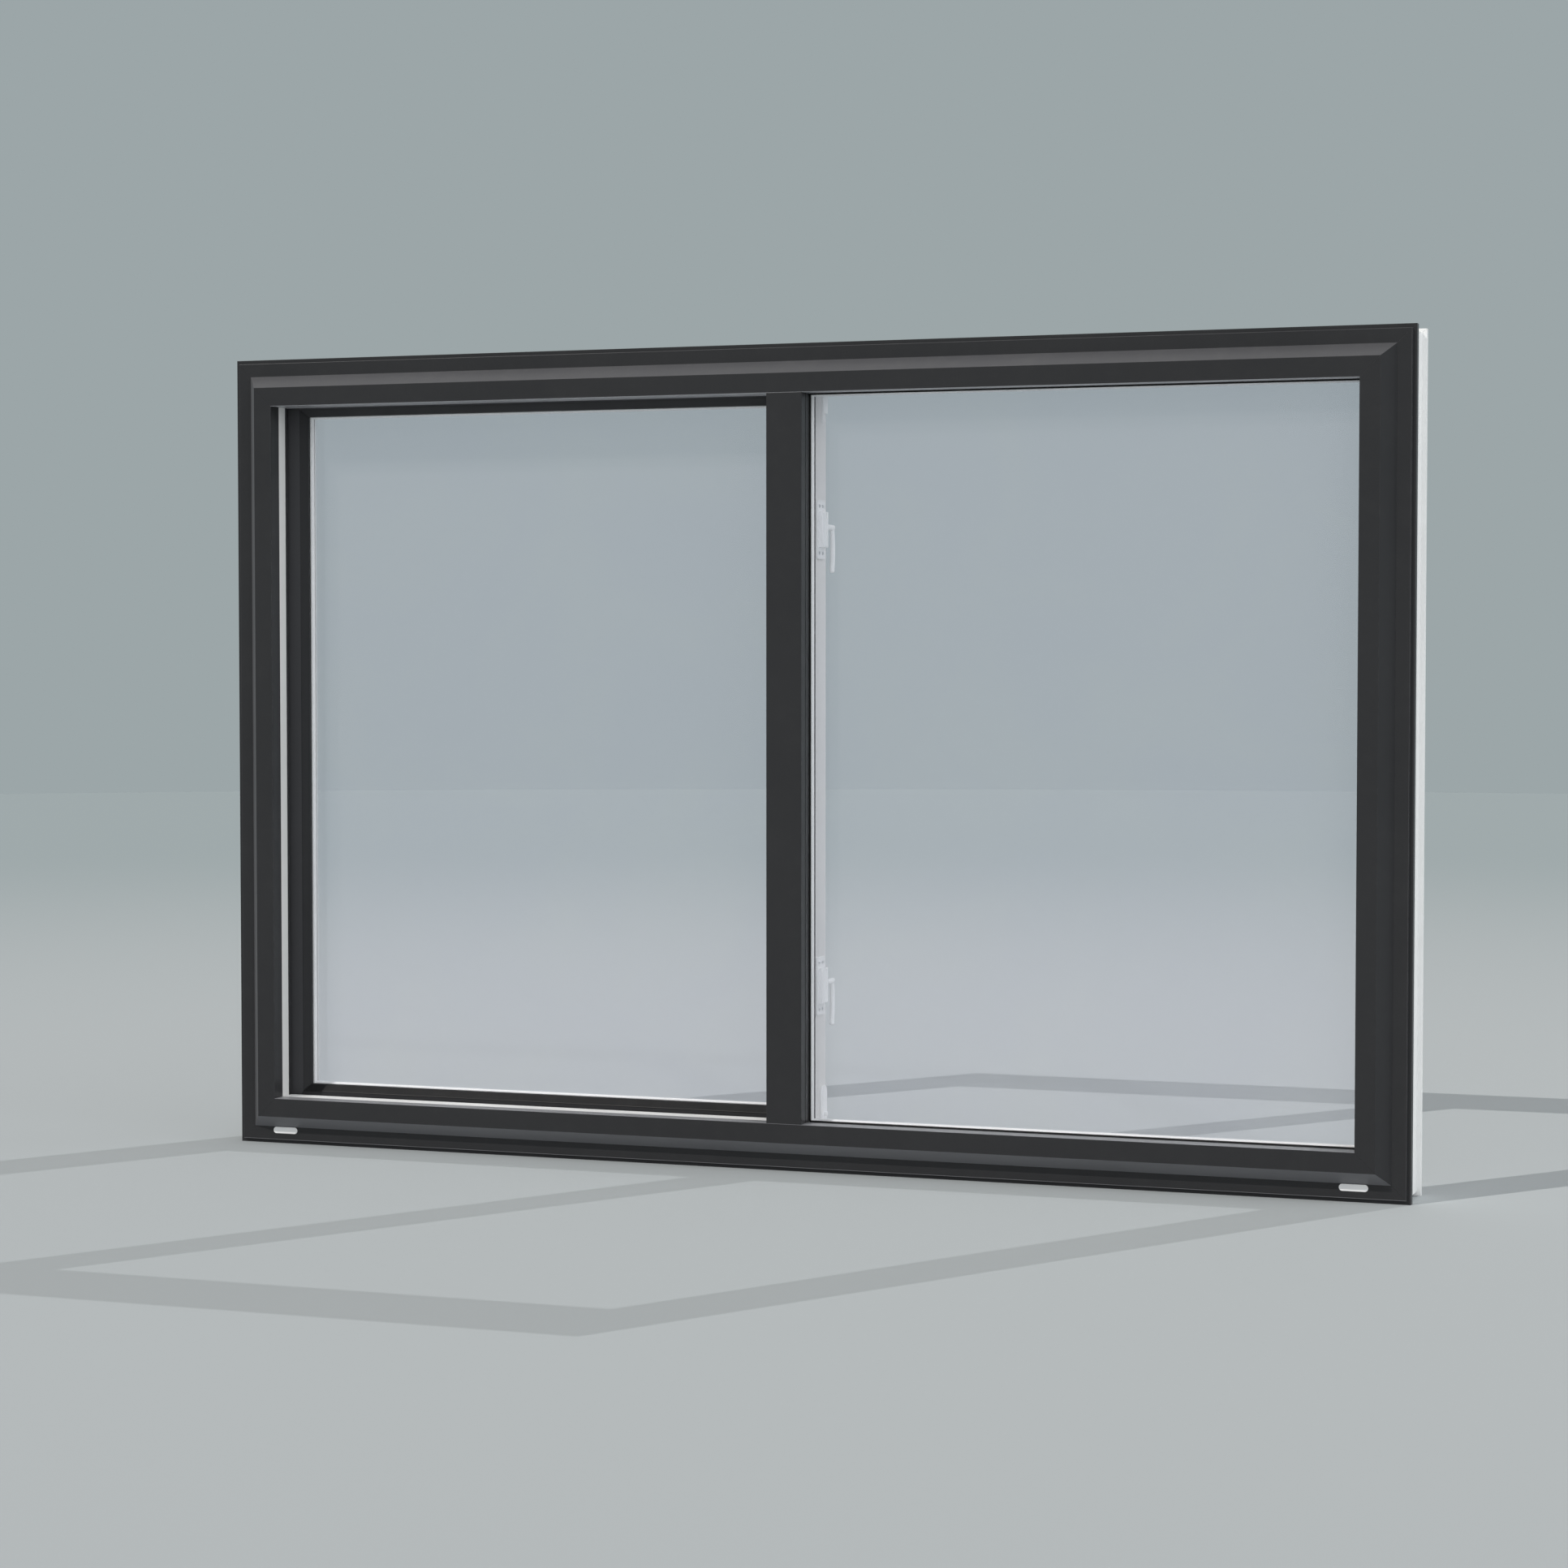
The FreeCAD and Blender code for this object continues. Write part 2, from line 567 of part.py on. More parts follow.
def make_sash():
    """Sash bars with their inner beads and glass."""
    section = [
        (SASH_FRONT, "0"),
        (SASH_FRONT, "sash_face"),
        (f"{SASH_FRONT} + sash_bevel_depth", "sash_bar"),
        (SASH_GLASS_FRONT, "sash_bar"),
        (SASH_GLASS_FRONT, "sash_rebate"),
        (SASH_BACK, "sash_rebate"),
        (SASH_BACK, "0"),
    ]
    groove = [
        (f"{SASH_MIDDLE} + groove_depth / 2", "0"),
        (f"{SASH_MIDDLE} + groove_depth / 2", "groove_height"),
        (f"{SASH_MIDDLE} - groove_depth / 2", "groove_height"),
        (f"{SASH_MIDDLE} - groove_depth / 2", "0"),
    ]
    names = {"sill": "sash_bottom_rail", "head": "sash_top_rail",
             "left": "sash_left_stile", "right": "sash_meeting_stile"}
    ring(names, SASH, section, {"sill": section + groove})
    bead = [
        (SASH_GLASS_BACK, "sash_rebate"),
        (SASH_GLASS_BACK, "sash_bar"),
        (f"{SASH_GLASS_BACK} + sash_bead_lead", "sash_bar"),
        (SASH_BACK, "sash_bar - sash_bead_slope"),
        (SASH_BACK, "sash_rebate"),
    ]
    ring({side: f"sash_bead_{side}" for side in INWARD}, SASH, bead)
    make_glass("sash", SASH, "(sash_rebate + glass_edge_gap)", SASH_GLASS_FRONT)


def make_glides():
    """Glides in the groove under the sash, on top of the track rail."""
    half = "(groove_depth / 2 - glide_play)"
    sash_left = f"(sash_reach - {SASH_WIDTH})"
    for side, middle in (("left", f"{sash_left} + glide_inset"),
                         ("right", "sash_reach - glide_inset")):
        block(f"glide_{side}", f"{middle} - glide_length / 2", f"{SASH_MIDDLE} - {half}",
              f"{SASH_BOTTOM} - glide_drop", "glide_length", f"2 * {half}",
              "groove_height + glide_drop")


def make_corner_blocks():
    """Blocks on the meeting stile's edge, at its foot and its head."""
    back = f"{SASH_BACK} - block_setback"
    foot = new_body("corner_block_bottom", "sash_reach", f"{back} - foot_depth", SASH_BOTTOM)
    shape = new_sketch(foot, "corner_block_bottom_shape", "YZ_Plane")
    rectangle(shape, "0", "foot_depth", "0", "foot_height")
    pad(foot, shape, "foot_thickness")
    top = value("foot_height")
    along = runs_along(RIGHT)
    fillet(foot, "foot_round", lambda edge: along(edge) and edge.CenterOfMass.z > top / 2)
    knob = new_sketch(foot, "corner_block_knob", "YZ_Plane", "foot_thickness")
    circle(knob, "foot_depth / 2", "knob_rise", "knob_radius")
    pad(foot, knob, "knob_reach")

    top_edge = f"{SASH_BOTTOM} + {SASH_HEIGHT}"
    width = "(corner_depth + strip_depth)"
    head = new_body("corner_block_top", "sash_reach", f"{back} - {width}", top_edge)
    shape = new_sketch(head, "corner_block_top_shape", "YZ_Plane")
    outline(shape, [
        ("0", "0"), ("0", "-1 * strip_height"), ("strip_depth", "-1 * strip_height"),
        ("strip_depth", "-1 * corner_height"), (width, "-1 * corner_height"), (width, "0"),
    ])
    pad(head, shape, "corner_thickness")


def make_latch(name, height):
    """One latch: a plate with its case on the stile's edge, and a lever that turns in the case."""
    front = f"({SASH_FRONT} + latch_setback)"
    case_front = "(plate_depth - case_depth)"
    body = new_body(f"latch_body_{name}", "sash_reach", front, height)
    plate = new_sketch(body, f"latch_plate_{name}", "YZ_Plane")
    rectangle(plate, "0", "plate_depth", "-1 * plate_height / 2", "plate_height / 2")
    pad(body, plate, "plate_thickness")
    fillet(body, "plate_round", runs_along(RIGHT))
    case = new_sketch(body, f"latch_case_{name}", "YZ_Plane")
    rectangle(case, case_front, "plate_depth", "-1 * case_height / 2", "case_height / 2")
    pad(body, case, "case_reach")
    reach = value("case_reach")
    fillet(body, "case_round", lambda edge: edge.BoundBox.XMin > reach - 1e-6)
    groove = new_sketch(body, f"latch_groove_{name}", "YZ_Plane", "case_reach")
    rectangle(groove, "plate_depth - case_groove_at - case_groove", "plate_depth - case_groove_at",
              "-1 * case_height / 2", "case_height / 2")
    pocket(body, groove, "case_groove_sink")
    bore = new_sketch(body, f"latch_bore_{name}", "XZ_Plane", "-1 * plate_depth")
    circle(bore, "pivot_reach", "pivot_rise", "spindle_radius + spindle_play")
    pocket(body, bore, "spindle_length + run_gap", backwards=True)

    start = f"({front} + plate_depth)"
    hub_start = f"({start} + run_gap)"
    arm = f"({SASH_BACK} + finger_gap + lever_rod / 2 - {start})"
    hub_length = f"({arm} + lever_rod / 2 - run_gap)"
    lever = new_body(f"latch_lever_{name}", "sash_reach + pivot_reach", start,
                     f"{height} + pivot_rise")
    hub = new_sketch(lever, f"lever_hub_{name}", "XZ_Plane", "-1 * run_gap")
    circle(hub, "0", "0", "hub_radius")
    pad(lever, hub, hub_length, backwards=True)
    end = value(f"{hub_start} + {hub_length} - {start}")
    fillet(lever, "hub_round", lambda edge: edge.BoundBox.YMin > end - 1e-6)
    spindle = new_sketch(lever, f"lever_spindle_{name}", "XZ_Plane", "-1 * run_gap")
    circle(spindle, "0", "0", "spindle_radius")
    pad(lever, spindle, "spindle_length")
    make_arm(lever, name, arm)


def make_arm(lever, name, arm):
    """The lever's arm: a round rod that hangs from the hub in one shallow bow."""
    rod = new_sketch(lever, f"lever_rod_{name}", "XY_Plane")
    circle(rod, "0", arm, "lever_rod / 2")
    path = new_sketch(lever, f"lever_path_{name}", "YZ_Plane")
    top = FreeCAD.Vector(value(arm), 0, 0)
    low = FreeCAD.Vector(value(arm), -value("lever_length"), 0)
    middle = (top + low) / 2 + FreeCAD.Vector(value("lever_bow"), 0, 0)
    edge = path.addGeometry(Part.Arc(low, middle, top))
    pin_point(path, edge, 1, arm, "-1 * lever_length")
    pin_point(path, edge, 2, arm, "0")
    radius = "(lever_length * lever_length / 4 + lever_bow * lever_bow) / (2 * lever_bow)"
    rule = path.addConstraint(Sketcher.Constraint("Radius", edge, value(radius)))
    bind(path, f"Constraints[{rule}]", radius)
    doc.recompute()
    sweep = lever.newObject("PartDesign::AdditivePipe", f"lever_arm_{name}")
    sweep.Profile = rod
    sweep.Spine = (path, ["Edge1"])
    for sketch in (rod, path):
        sketch.Visibility = False
    doc.recompute()
    low_end = -value("lever_length")
    fillet(lever, "lever_tip_round", lambda edge: edge.BoundBox.ZMax < low_end + value("lever_rod") / 4)


def check_and_write():
    """Stop at any failed object, then write one file for each piece."""
    doc.recompute()
    failed = [item.Name for item in doc.Objects if {"Invalid", "Error"} & set(item.State)]
    if failed:
        raise RuntimeError(f"failed: {failed}")
    for piece in pieces:
        if piece.Shape.isNull() or not piece.Shape.isValid():
            raise RuntimeError(f"bad shape: {piece.Label}")
    os.makedirs("parts", exist_ok=True)
    for piece in pieces:
        piece.Shape.exportStep(f"parts/{piece.Label}.step")


fill_sheet()
make_trim()
make_weep_covers()
make_frame()
make_liners()
make_mullion()
make_fixed_light()
make_track()
make_brushes()
make_sash()
make_glides()
make_corner_blocks()
make_latch("upper", "(window_height - latch_inset)")
make_latch("lower", "latch_inset")
check_and_write()
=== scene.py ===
"""Looks of a horizontal sliding window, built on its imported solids.

The dark trim, the white frame and the glass keep the shapes of the solids, with softened edges and
procedural finishes. Glazing seals, screws and brush pile are made here. Lengths are metres in the
frame of the part: X to the right, Y into the room, Z up.
"""
from __future__ import annotations

import logging
import math
from dataclasses import dataclass
from enum import Enum
from typing import Callable

import bmesh
import bpy
from bpy.types import Material, Mesh, Node, NodeSocket, NodeTree, Object
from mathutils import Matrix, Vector

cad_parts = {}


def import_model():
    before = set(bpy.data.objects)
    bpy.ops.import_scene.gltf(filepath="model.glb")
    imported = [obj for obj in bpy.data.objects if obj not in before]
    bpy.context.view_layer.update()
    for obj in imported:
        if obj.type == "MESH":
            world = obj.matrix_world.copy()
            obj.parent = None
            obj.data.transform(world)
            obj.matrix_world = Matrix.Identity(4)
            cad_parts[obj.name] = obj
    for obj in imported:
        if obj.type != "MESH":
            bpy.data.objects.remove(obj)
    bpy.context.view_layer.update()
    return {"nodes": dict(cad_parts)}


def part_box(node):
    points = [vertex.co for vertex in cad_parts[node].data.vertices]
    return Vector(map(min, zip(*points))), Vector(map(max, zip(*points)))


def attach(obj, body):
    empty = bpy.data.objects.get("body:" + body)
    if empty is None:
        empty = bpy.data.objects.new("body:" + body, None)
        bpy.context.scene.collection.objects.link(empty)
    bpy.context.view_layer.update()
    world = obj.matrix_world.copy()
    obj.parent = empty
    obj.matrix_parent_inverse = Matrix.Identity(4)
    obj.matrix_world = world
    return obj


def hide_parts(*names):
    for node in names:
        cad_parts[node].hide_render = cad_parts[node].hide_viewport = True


LOG = logging.getLogger("sliding_window")
MM = 0.001
Triple = tuple[float, float, float]
Color = Triple
SIDES = ("head", "sill", "left", "right")

# Lines of the extrusion die per metre along X, Y and Z, by the way a bar runs.
DIE_LINES = {"level": (2.0, 700.0, 700.0), "upright": (700.0, 700.0, 2.0)}
DUST = (0.42, 0.41, 0.385)

# How far clouds, wear and dust change a roughness, and die lines the height of a skin.
CLOUD_ROUGH = 0.06
WEAR_ROUGH = 0.12
DUST_ROUGH = 0.35
LINE_SHARE = 1.5
SKIN_STRENGTH = 0.5

# Limits of the modifiers that round an edge.
WELD_GAP = 0.01 * MM
FLAT_ANGLE = math.radians(0.6)
SHARP_ANGLE = math.radians(34)
EDGE_FACES = 2

SEAL_CORNER = 1.5 * MM
SEAL_CORNER_STEPS = 3
SEAL_FACES = 10
SCREW_SEED = 7
PILE_SEED = 3

# Charcoal of the bevel, the ledge and the rim's edge on each side of the trim: painted light and
# shade, set side by side for the light that falls there, with a painted highlight along the rim's
# edge.
TRIM_PAINTED_LIGHT = {"head": (0.083, 0.37, 0.06), "sill": (0.175, 0.235, 0.15),
              "left": (0.092, 0.032, 0.048), "right": (0.036, 0.032, 0.05)}

# The way that each sash bar runs, and the charcoal of its face and of its glass bevel: painted light
# and shade, lighter on the shaded top rail and stiles, darker on the lit bottom rail.
SASH_LIT_TONES = {"top_rail": ("level", 0.085, 0.045), "bottom_rail": ("level", 0.035, 0.0145),
              "left_stile": ("upright", 0.064, 0.032), "meeting_stile": ("upright", 0.064, 0.032)}


def shade(color: Color, factor: float = 1.0) -> tuple[float, float, float, float]:
    """A colour made lighter or darker by a factor, for a colour socket."""
    return (*(min(1.0, factor * part) for part in color), 1.0)


def charcoal_tone(value: float) -> Color:
    """A charcoal of one lightness, a little cool."""
    return (value, value, 1.06 * value)


def way_of(side: str) -> str:
    """The way in which the bar at one side runs."""
    return "level" if side in ("head", "sill") else "upright"


class Body(Enum):
    """The bodies that a new piece may ride on."""

    FRAME = "window_frame"
    SASH = "sliding_sash"


class Graph:
    """A node tree with short ways to add nodes and to feed their sockets."""

    def __init__(self, tree: NodeTree) -> None:
        """Keep the tree that the nodes go into.

        Args:
            tree: A shader or geometry node tree.
        """
        self.tree = tree

    def feed(self, socket: NodeSocket, value: object) -> None:
        """Link a socket to another one, or set its plain value.

        Args:
            socket: The input that is fed.
            value: An output socket, or a plain value.
        """
        if isinstance(value, NodeSocket):
            self.tree.links.new(value, socket)
        else:
            socket.default_value = value

    def node(self, kind: str, inputs: dict | None = None, **settings: object) -> Node:
        """Add a node.

        Args:
            kind: The node's type name.
            inputs: Values or output sockets, by input name or number.
            settings: Properties of the node itself.

        Returns:
            The new node.
        """
        made = self.tree.nodes.new(kind)
        for name, value in settings.items():
            setattr(made, name, value)
        for name, value in (inputs or {}).items():
            self.feed(made.inputs[name], value)
        return made

    def calc(self, operation: str, *values: object) -> NodeSocket:
        """Add a Math node and return its result."""
        made = self.node("ShaderNodeMath", dict(enumerate(values)), operation=operation)
        return made.outputs[0]

    def smooth_step(self, value: object, low: float, high: float) -> NodeSocket:
        """Add a smooth 0 to 1 ramp between two values and return its result."""
        made = self.node("ShaderNodeMapRange", {0: value, 1: low, 2: high},
                         interpolation_type="SMOOTHSTEP")
        return made.outputs[0]

    def blend(self, factor: object, first: object, second: object) -> NodeSocket:
        """Add a colour mix.

        Args:
            factor: Share of the second colour.
            first: The first colour.
            second: The second colour.

        Returns:
            The mixed colour.
        """
        made = self.node("ShaderNodeMix", data_type="RGBA")
        for index, value in ((0, factor), (6, first), (7, second)):
            self.feed(made.inputs[index], value)
        return made.outputs[2]

    def mottle(self, cloud: NodeSocket, color: Color, swing: float) -> NodeSocket:
        """Let a colour swing a little with a slow noise, and return the result."""
        return self.blend(cloud, shade(color, 1.0 - swing), shade(color, 1.0 + swing))

    def between(self, value: NodeSocket, low: float, high: float) -> NodeSocket:
        """Mask of the values between two limits."""
        return self.calc("MULTIPLY", self.calc("GREATER_THAN", value, low),
                         self.calc("LESS_THAN", value, high))

    def group(self, tree: NodeTree, inputs: dict) -> Node:
        """Place a node group.

        Args:
            tree: The group's tree.
            inputs: Values or output sockets, by input name.

        Returns:
            The group's node.
        """
        made = self.node("ShaderNodeGroup", node_tree=tree)
        for name, value in inputs.items():
            self.feed(made.inputs[name], value)
        return made


def shader_group(name: str, inputs: dict[str, tuple[str, object]], outputs: tuple[str, ...],
                 fill: Callable[[Graph, Node], dict]) -> NodeTree:
    """Make a shader node group once, and find it again later.

    Args:
        name: The group's name.
        inputs: Short socket kind and default value of each input.
        outputs: Names of the float outputs.
        fill: Builds the inside from the graph and its input node, and returns the outputs' sources.

    Returns:
        The node group.
    """
    if name in bpy.data.node_groups:
        return bpy.data.node_groups[name]
    tree = bpy.data.node_groups.new(name, "ShaderNodeTree")
    for label, (kind, default) in inputs.items():
        socket = tree.interface.new_socket(label, in_out="INPUT", socket_type=f"NodeSocket{kind}")
        socket.default_value = default
    for label in outputs:
        tree.interface.new_socket(label, in_out="OUTPUT", socket_type="NodeSocketFloat")
    graph = Graph(tree)
    sources = fill(graph, graph.node("NodeGroupInput"))
    graph.node("NodeGroupOutput", sources)
    return tree


def moulded_skin() -> NodeTree:
    """Fine pebbled skin of extruded or moulded plastic, with a slow cloudiness.

    Returns:
        The node group.
    """

    def fill(graph: Graph, given: Node) -> dict:
        """Build the pebbles and the clouds.

        Args:
            graph: The group's graph.
            given: Its input node.

        Returns:
            The outputs' sources.
        """
        fine = graph.node("ShaderNodeTexNoise", {"Vector": given.outputs["Vector"],
                                                 "Scale": given.outputs["Pebbles"],
                                                 "Detail": 3.0, "Roughness": 0.6})
        cloud = graph.node("ShaderNodeTexNoise", {"Vector": given.outputs["Vector"],
                                                  "Scale": given.outputs["Clouds"],
                                                  "Detail": 4.0})
        return {"Height": fine.outputs[0],
                "Cloud": graph.smooth_step(cloud.outputs[0], low=0.3, high=0.7)}

    inputs = {"Vector": ("Vector", (0, 0, 0)), "Pebbles": ("Float", 900.0), "Clouds": ("Float", 6.0)}
    return shader_group("moulded_skin", inputs, ("Height", "Cloud"), fill)


def drawn_lines() -> NodeTree:
    """Faint lines that an extrusion die leaves along a bar.

    Returns:
        The node group.
    """

    def fill(graph: Graph, given: Node) -> dict:
        """Stretch a noise along the bar.

        Args:
            graph: The group's graph.
            given: Its input node.

        Returns:
            The outputs' sources.
        """
        stretched = graph.node("ShaderNodeVectorMath", {0: given.outputs["Vector"],
                                                        1: given.outputs["Stretch"]},
                               operation="MULTIPLY")
        lines = graph.node("ShaderNodeTexNoise", {"Vector": stretched.outputs[0], "Scale": 1.0,
                                                  "Detail": 2.0})
        return {"Height": lines.outputs[0]}

    inputs = {"Vector": ("Vector", (0, 0, 0)), "Stretch": ("Vector", (2, 700, 700))}
    return shader_group("drawn_lines", inputs, ("Height",), fill)


def settled_dust() -> NodeTree:
    """Thin dust, most of it on faces that look up.

    Returns:
        The node group.
    """

    def fill(graph: Graph, given: Node) -> dict:
        """Mix the upward faces with a patchy noise.

        Args:
            graph: The group's graph.
            given: Its input node.

        Returns:
            The outputs' sources.
        """
        patches = graph.node("ShaderNodeTexNoise", {"Vector": given.outputs["Vector"],
                                                    "Scale": 38.0, "Detail": 6.0,
                                                    "Roughness": 0.65})
        turn = graph.node("ShaderNodeSeparateXYZ", {0: given.outputs["Normal"]})
        upward = graph.smooth_step(turn.outputs[2], low=0.1, high=0.9)
        least = 0.25
        share = graph.calc("MULTIPLY_ADD", upward, 1.0 - least, least)
        patchy = graph.smooth_step(patches.outputs[0], low=0.42, high=0.78)
        amount = graph.calc("MULTIPLY", given.outputs["Amount"], share)
        return {"Dust": graph.calc("MULTIPLY", amount, patchy)}

    inputs = {"Vector": ("Vector", (0, 0, 0)), "Normal": ("Vector", (0, 0, 1)),
              "Amount": ("Float", 0.2)}
    return shader_group("settled_dust", inputs, ("Dust",), fill)


def inset_of() -> NodeTree:
    """How far a point lies inside an upright rectangle, and how far from its mitres.

    Returns:
        The node group.
    """

    def fill(graph: Graph, given: Node) -> dict:
        """Take the least distance to the edges, and the difference at the corners.

        Args:
            graph: The group's graph.
            given: Its input node.

        Returns:
            The outputs' sources.
        """
        away = graph.node("ShaderNodeVectorMath", {0: given.outputs["Vector"],
                                                   1: given.outputs["Centre"]},
                          operation="SUBTRACT")
        parts = graph.node("ShaderNodeSeparateXYZ", {0: away.outputs[0]})
        across = graph.calc("SUBTRACT", given.outputs["Half Width"],
                            graph.calc("ABSOLUTE", parts.outputs[0]))
        along = graph.calc("SUBTRACT", given.outputs["Half Height"],
                           graph.calc("ABSOLUTE", parts.outputs[2]))
        beside = graph.calc("ABSOLUTE", graph.calc("SUBTRACT", across, along))
        return {"Inset": graph.calc("MINIMUM", across, along), "Mitre": beside}

    inputs = {"Vector": ("Vector", (0, 0, 0)), "Centre": ("Vector", (0, 0, 0.5)),
              "Half Width": ("Float", 0.5), "Half Height": ("Float", 0.5)}
    return shader_group("inset_of", inputs, ("Inset", "Mitre"), fill)


def worn_and_highlit_edge() -> NodeTree:
    """A broken line along the sharp edges of a piece: wear, and on the charcoal also a painted
    highlight.

    Returns:
        The node group.
    """

    def fill(graph: Graph, given: Node) -> dict:
        """Compare the rounded normal with the true one, and break the line with noise.

        Args:
            graph: The group's graph.
            given: Its input node.

        Returns:
            The outputs' sources.
        """
        soft = graph.node("ShaderNodeBevel", {"Radius": given.outputs["Width"]}, samples=4)
        true = graph.node("ShaderNodeNewGeometry")
        alike = graph.node("ShaderNodeVectorMath", {0: soft.outputs[0], 1: true.outputs["Normal"]},
                           operation="DOT_PRODUCT")
        edge = graph.smooth_step(alike.outputs["Value"], low=0.99, high=0.86)
        broken = graph.node("ShaderNodeTexNoise", {"Vector": given.outputs["Vector"],
                                                   "Scale": 70.0, "Detail": 5.0})
        patchy = graph.smooth_step(broken.outputs[0], low=0.36, high=0.68)
        return {"Wear": graph.calc("MULTIPLY", edge, patchy)}

    inputs = {"Vector": ("Vector", (0, 0, 0)), "Width": ("Float", 0.001)}
    return shader_group("worn_and_highlit_edge", inputs, ("Wear",), fill)


@dataclass(frozen=True)
class Rect:
    """An upright rectangle at one depth.

    Args:
        left: Lowest X.
        right: Highest X.
        low: Lowest Z.
        high: Highest Z.
    """

    left: float
    right: float
    low: float
    high: float

    @property
    def width(self) -> float:
        """Size along X."""
        return self.right - self.left

    @property
    def height(self) -> float:
        """Size along Z."""
        return self.high - self.low

    @property
    def centre(self) -> Triple:
        """Middle point, at depth zero."""
        return ((self.left + self.right) / 2, 0.0, (self.low + self.high) / 2)

    def inset(self, edge: float) -> "Rect":
        """The rectangle that lies an edge further in."""
        return Rect(self.left + edge, self.right - edge, self.low + edge, self.high - edge)

    def sockets(self, where: NodeSocket) -> dict:
        """What the inset group needs to measure from this rectangle."""
        return {"Vector": where, "Centre": self.centre, "Half Width": self.width / 2,
                "Half Height": self.height / 2}


def rect_round(*nodes: str) -> Rect:
    """The rectangle round some nodes of the frame, seen from the front."""
    boxes = [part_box(node) for node in nodes]
    return Rect(min(low.x for low, _ in boxes), max(high.x for _, high in boxes),
                min(low.z for low, _ in boxes), max(high.z for _, high in boxes))


@dataclass(frozen=True)
class Finish:
    """A plain moulded or extruded plastic; other finishes refine it.

    Args:
        name: The material's name.
        color: Base colour, linear.
        roughness: Mean roughness.
        pebbles: Pebbles of the skin per metre.
        bump: Height of the pebbles, metres.
        dust: Share of dust on upward faces.
        stretch: Scale of the die lines along X, Y and Z; zero leaves them out.
        worn: Colour of the worn edges; on the charcoal a pale one, partly wear and partly painted
            highlight.
        wear: Strength of that wear.
        gloss: Specular level.
    """

    name: str
    color: Color
    roughness: float = 0.4
    pebbles: float = 900.0
    bump: float = 0.02 * MM
    dust: float = 0.05
    stretch: Triple = (0.0, 0.0, 0.0)
    worn: Color = (0.5, 0.49, 0.47)
    wear: float = 0.18
    gloss: float = 0.5

    def begin(self) -> tuple[Material, Graph, Node, Node]:
        """Make an empty material.

        Returns:
            The material, its graph, its shader and its coordinate node.
        """
        material = bpy.data.materials.new(self.name)
        material.use_nodes = True
        graph = Graph(material.node_tree)
        graph.tree.nodes.clear()
        shader = graph.node("ShaderNodeBsdfPrincipled", {"Specular IOR Level": self.gloss})
        graph.node("ShaderNodeOutputMaterial", {"Surface": shader.outputs[0]})
        coords = graph.node("ShaderNodeTexCoord")
        return material, graph, shader, coords

    def base(self, graph: Graph, where: NodeSocket,
             cloud: NodeSocket) -> NodeSocket:
        """Colour before wear and dust: the plain colour with a slow cloudiness.

        Args:
            graph: The material's graph.
            where: Object coordinates.
            cloud: The skin's slow noise.

        Returns:
            The colour's socket.
        """
        return graph.mottle(cloud, self.color, swing=0.015)

    def edge_wear(self, graph: Graph, where: NodeSocket) -> NodeSocket:
        """Mask of the worn edges."""
        return graph.group(worn_and_highlit_edge(), {"Vector": where}).outputs[0]

    def build(self) -> Material:
        """Build the material.

        Returns:
            The finished material.
        """
        material, graph, shader, coords = self.begin()
        where = coords.outputs["Object"]
        skin = graph.group(moulded_skin(), {"Vector": where, "Pebbles": self.pebbles})
        dust = graph.group(settled_dust(), {"Vector": where, "Normal": coords.outputs["Normal"],
                                            "Amount": self.dust}).outputs[0]
        worn = self.edge_wear(graph, where)
        color = self.base(graph, where, skin.outputs["Cloud"])
        color = graph.blend(graph.calc("MULTIPLY", worn, self.wear), color, shade(self.worn))
        graph.feed(shader.inputs["Base Color"], graph.blend(dust, color, shade(DUST)))
        rough = graph.calc("MULTIPLY_ADD", skin.outputs["Cloud"], CLOUD_ROUGH,
                           self.roughness - CLOUD_ROUGH / 2)
        rough = graph.calc("MULTIPLY_ADD", worn, WEAR_ROUGH, rough)
        graph.feed(shader.inputs["Roughness"], graph.calc("MULTIPLY_ADD", dust, DUST_ROUGH, rough))
        height = skin.outputs["Height"]
        if any(self.stretch):
            lines = graph.group(drawn_lines(), {"Vector": where, "Stretch": self.stretch})
            height = graph.calc("MULTIPLY_ADD", lines.outputs[0], LINE_SHARE, height)
        bump = graph.node("ShaderNodeBump", {"Height": height, "Strength": SKIN_STRENGTH,
                                             "Distance": self.bump})
        graph.feed(shader.inputs["Normal"], bump.outputs[0])
        return material


@dataclass(frozen=True)
class MitredFinish(Finish):
    """A finish of bars that meet in tight mitres, which don't wear.

    Args:
        rect: The rectangle that the bars make.
        mitre: Distances from a mitre between which the wear sets in.
    """

    rect: Rect = Rect(-0.5, 0.5, 0.0, 1.0)
    mitre: tuple[float, float] = (1.5 * MM, 4 * MM)

    def inset(self, graph: Graph, where: NodeSocket) -> Node:
        """Place the group that measures from the rectangle's edges."""
        return graph.group(inset_of(), self.rect.sockets(where))

    def edge_wear(self, graph: Graph, where: NodeSocket) -> NodeSocket:
        """Mask of the worn edges, without the mitres."""
        clear = graph.smooth_step(self.inset(graph, where).outputs["Mitre"], *self.mitre)
        return graph.calc("MULTIPLY", super().edge_wear(graph, where), clear)


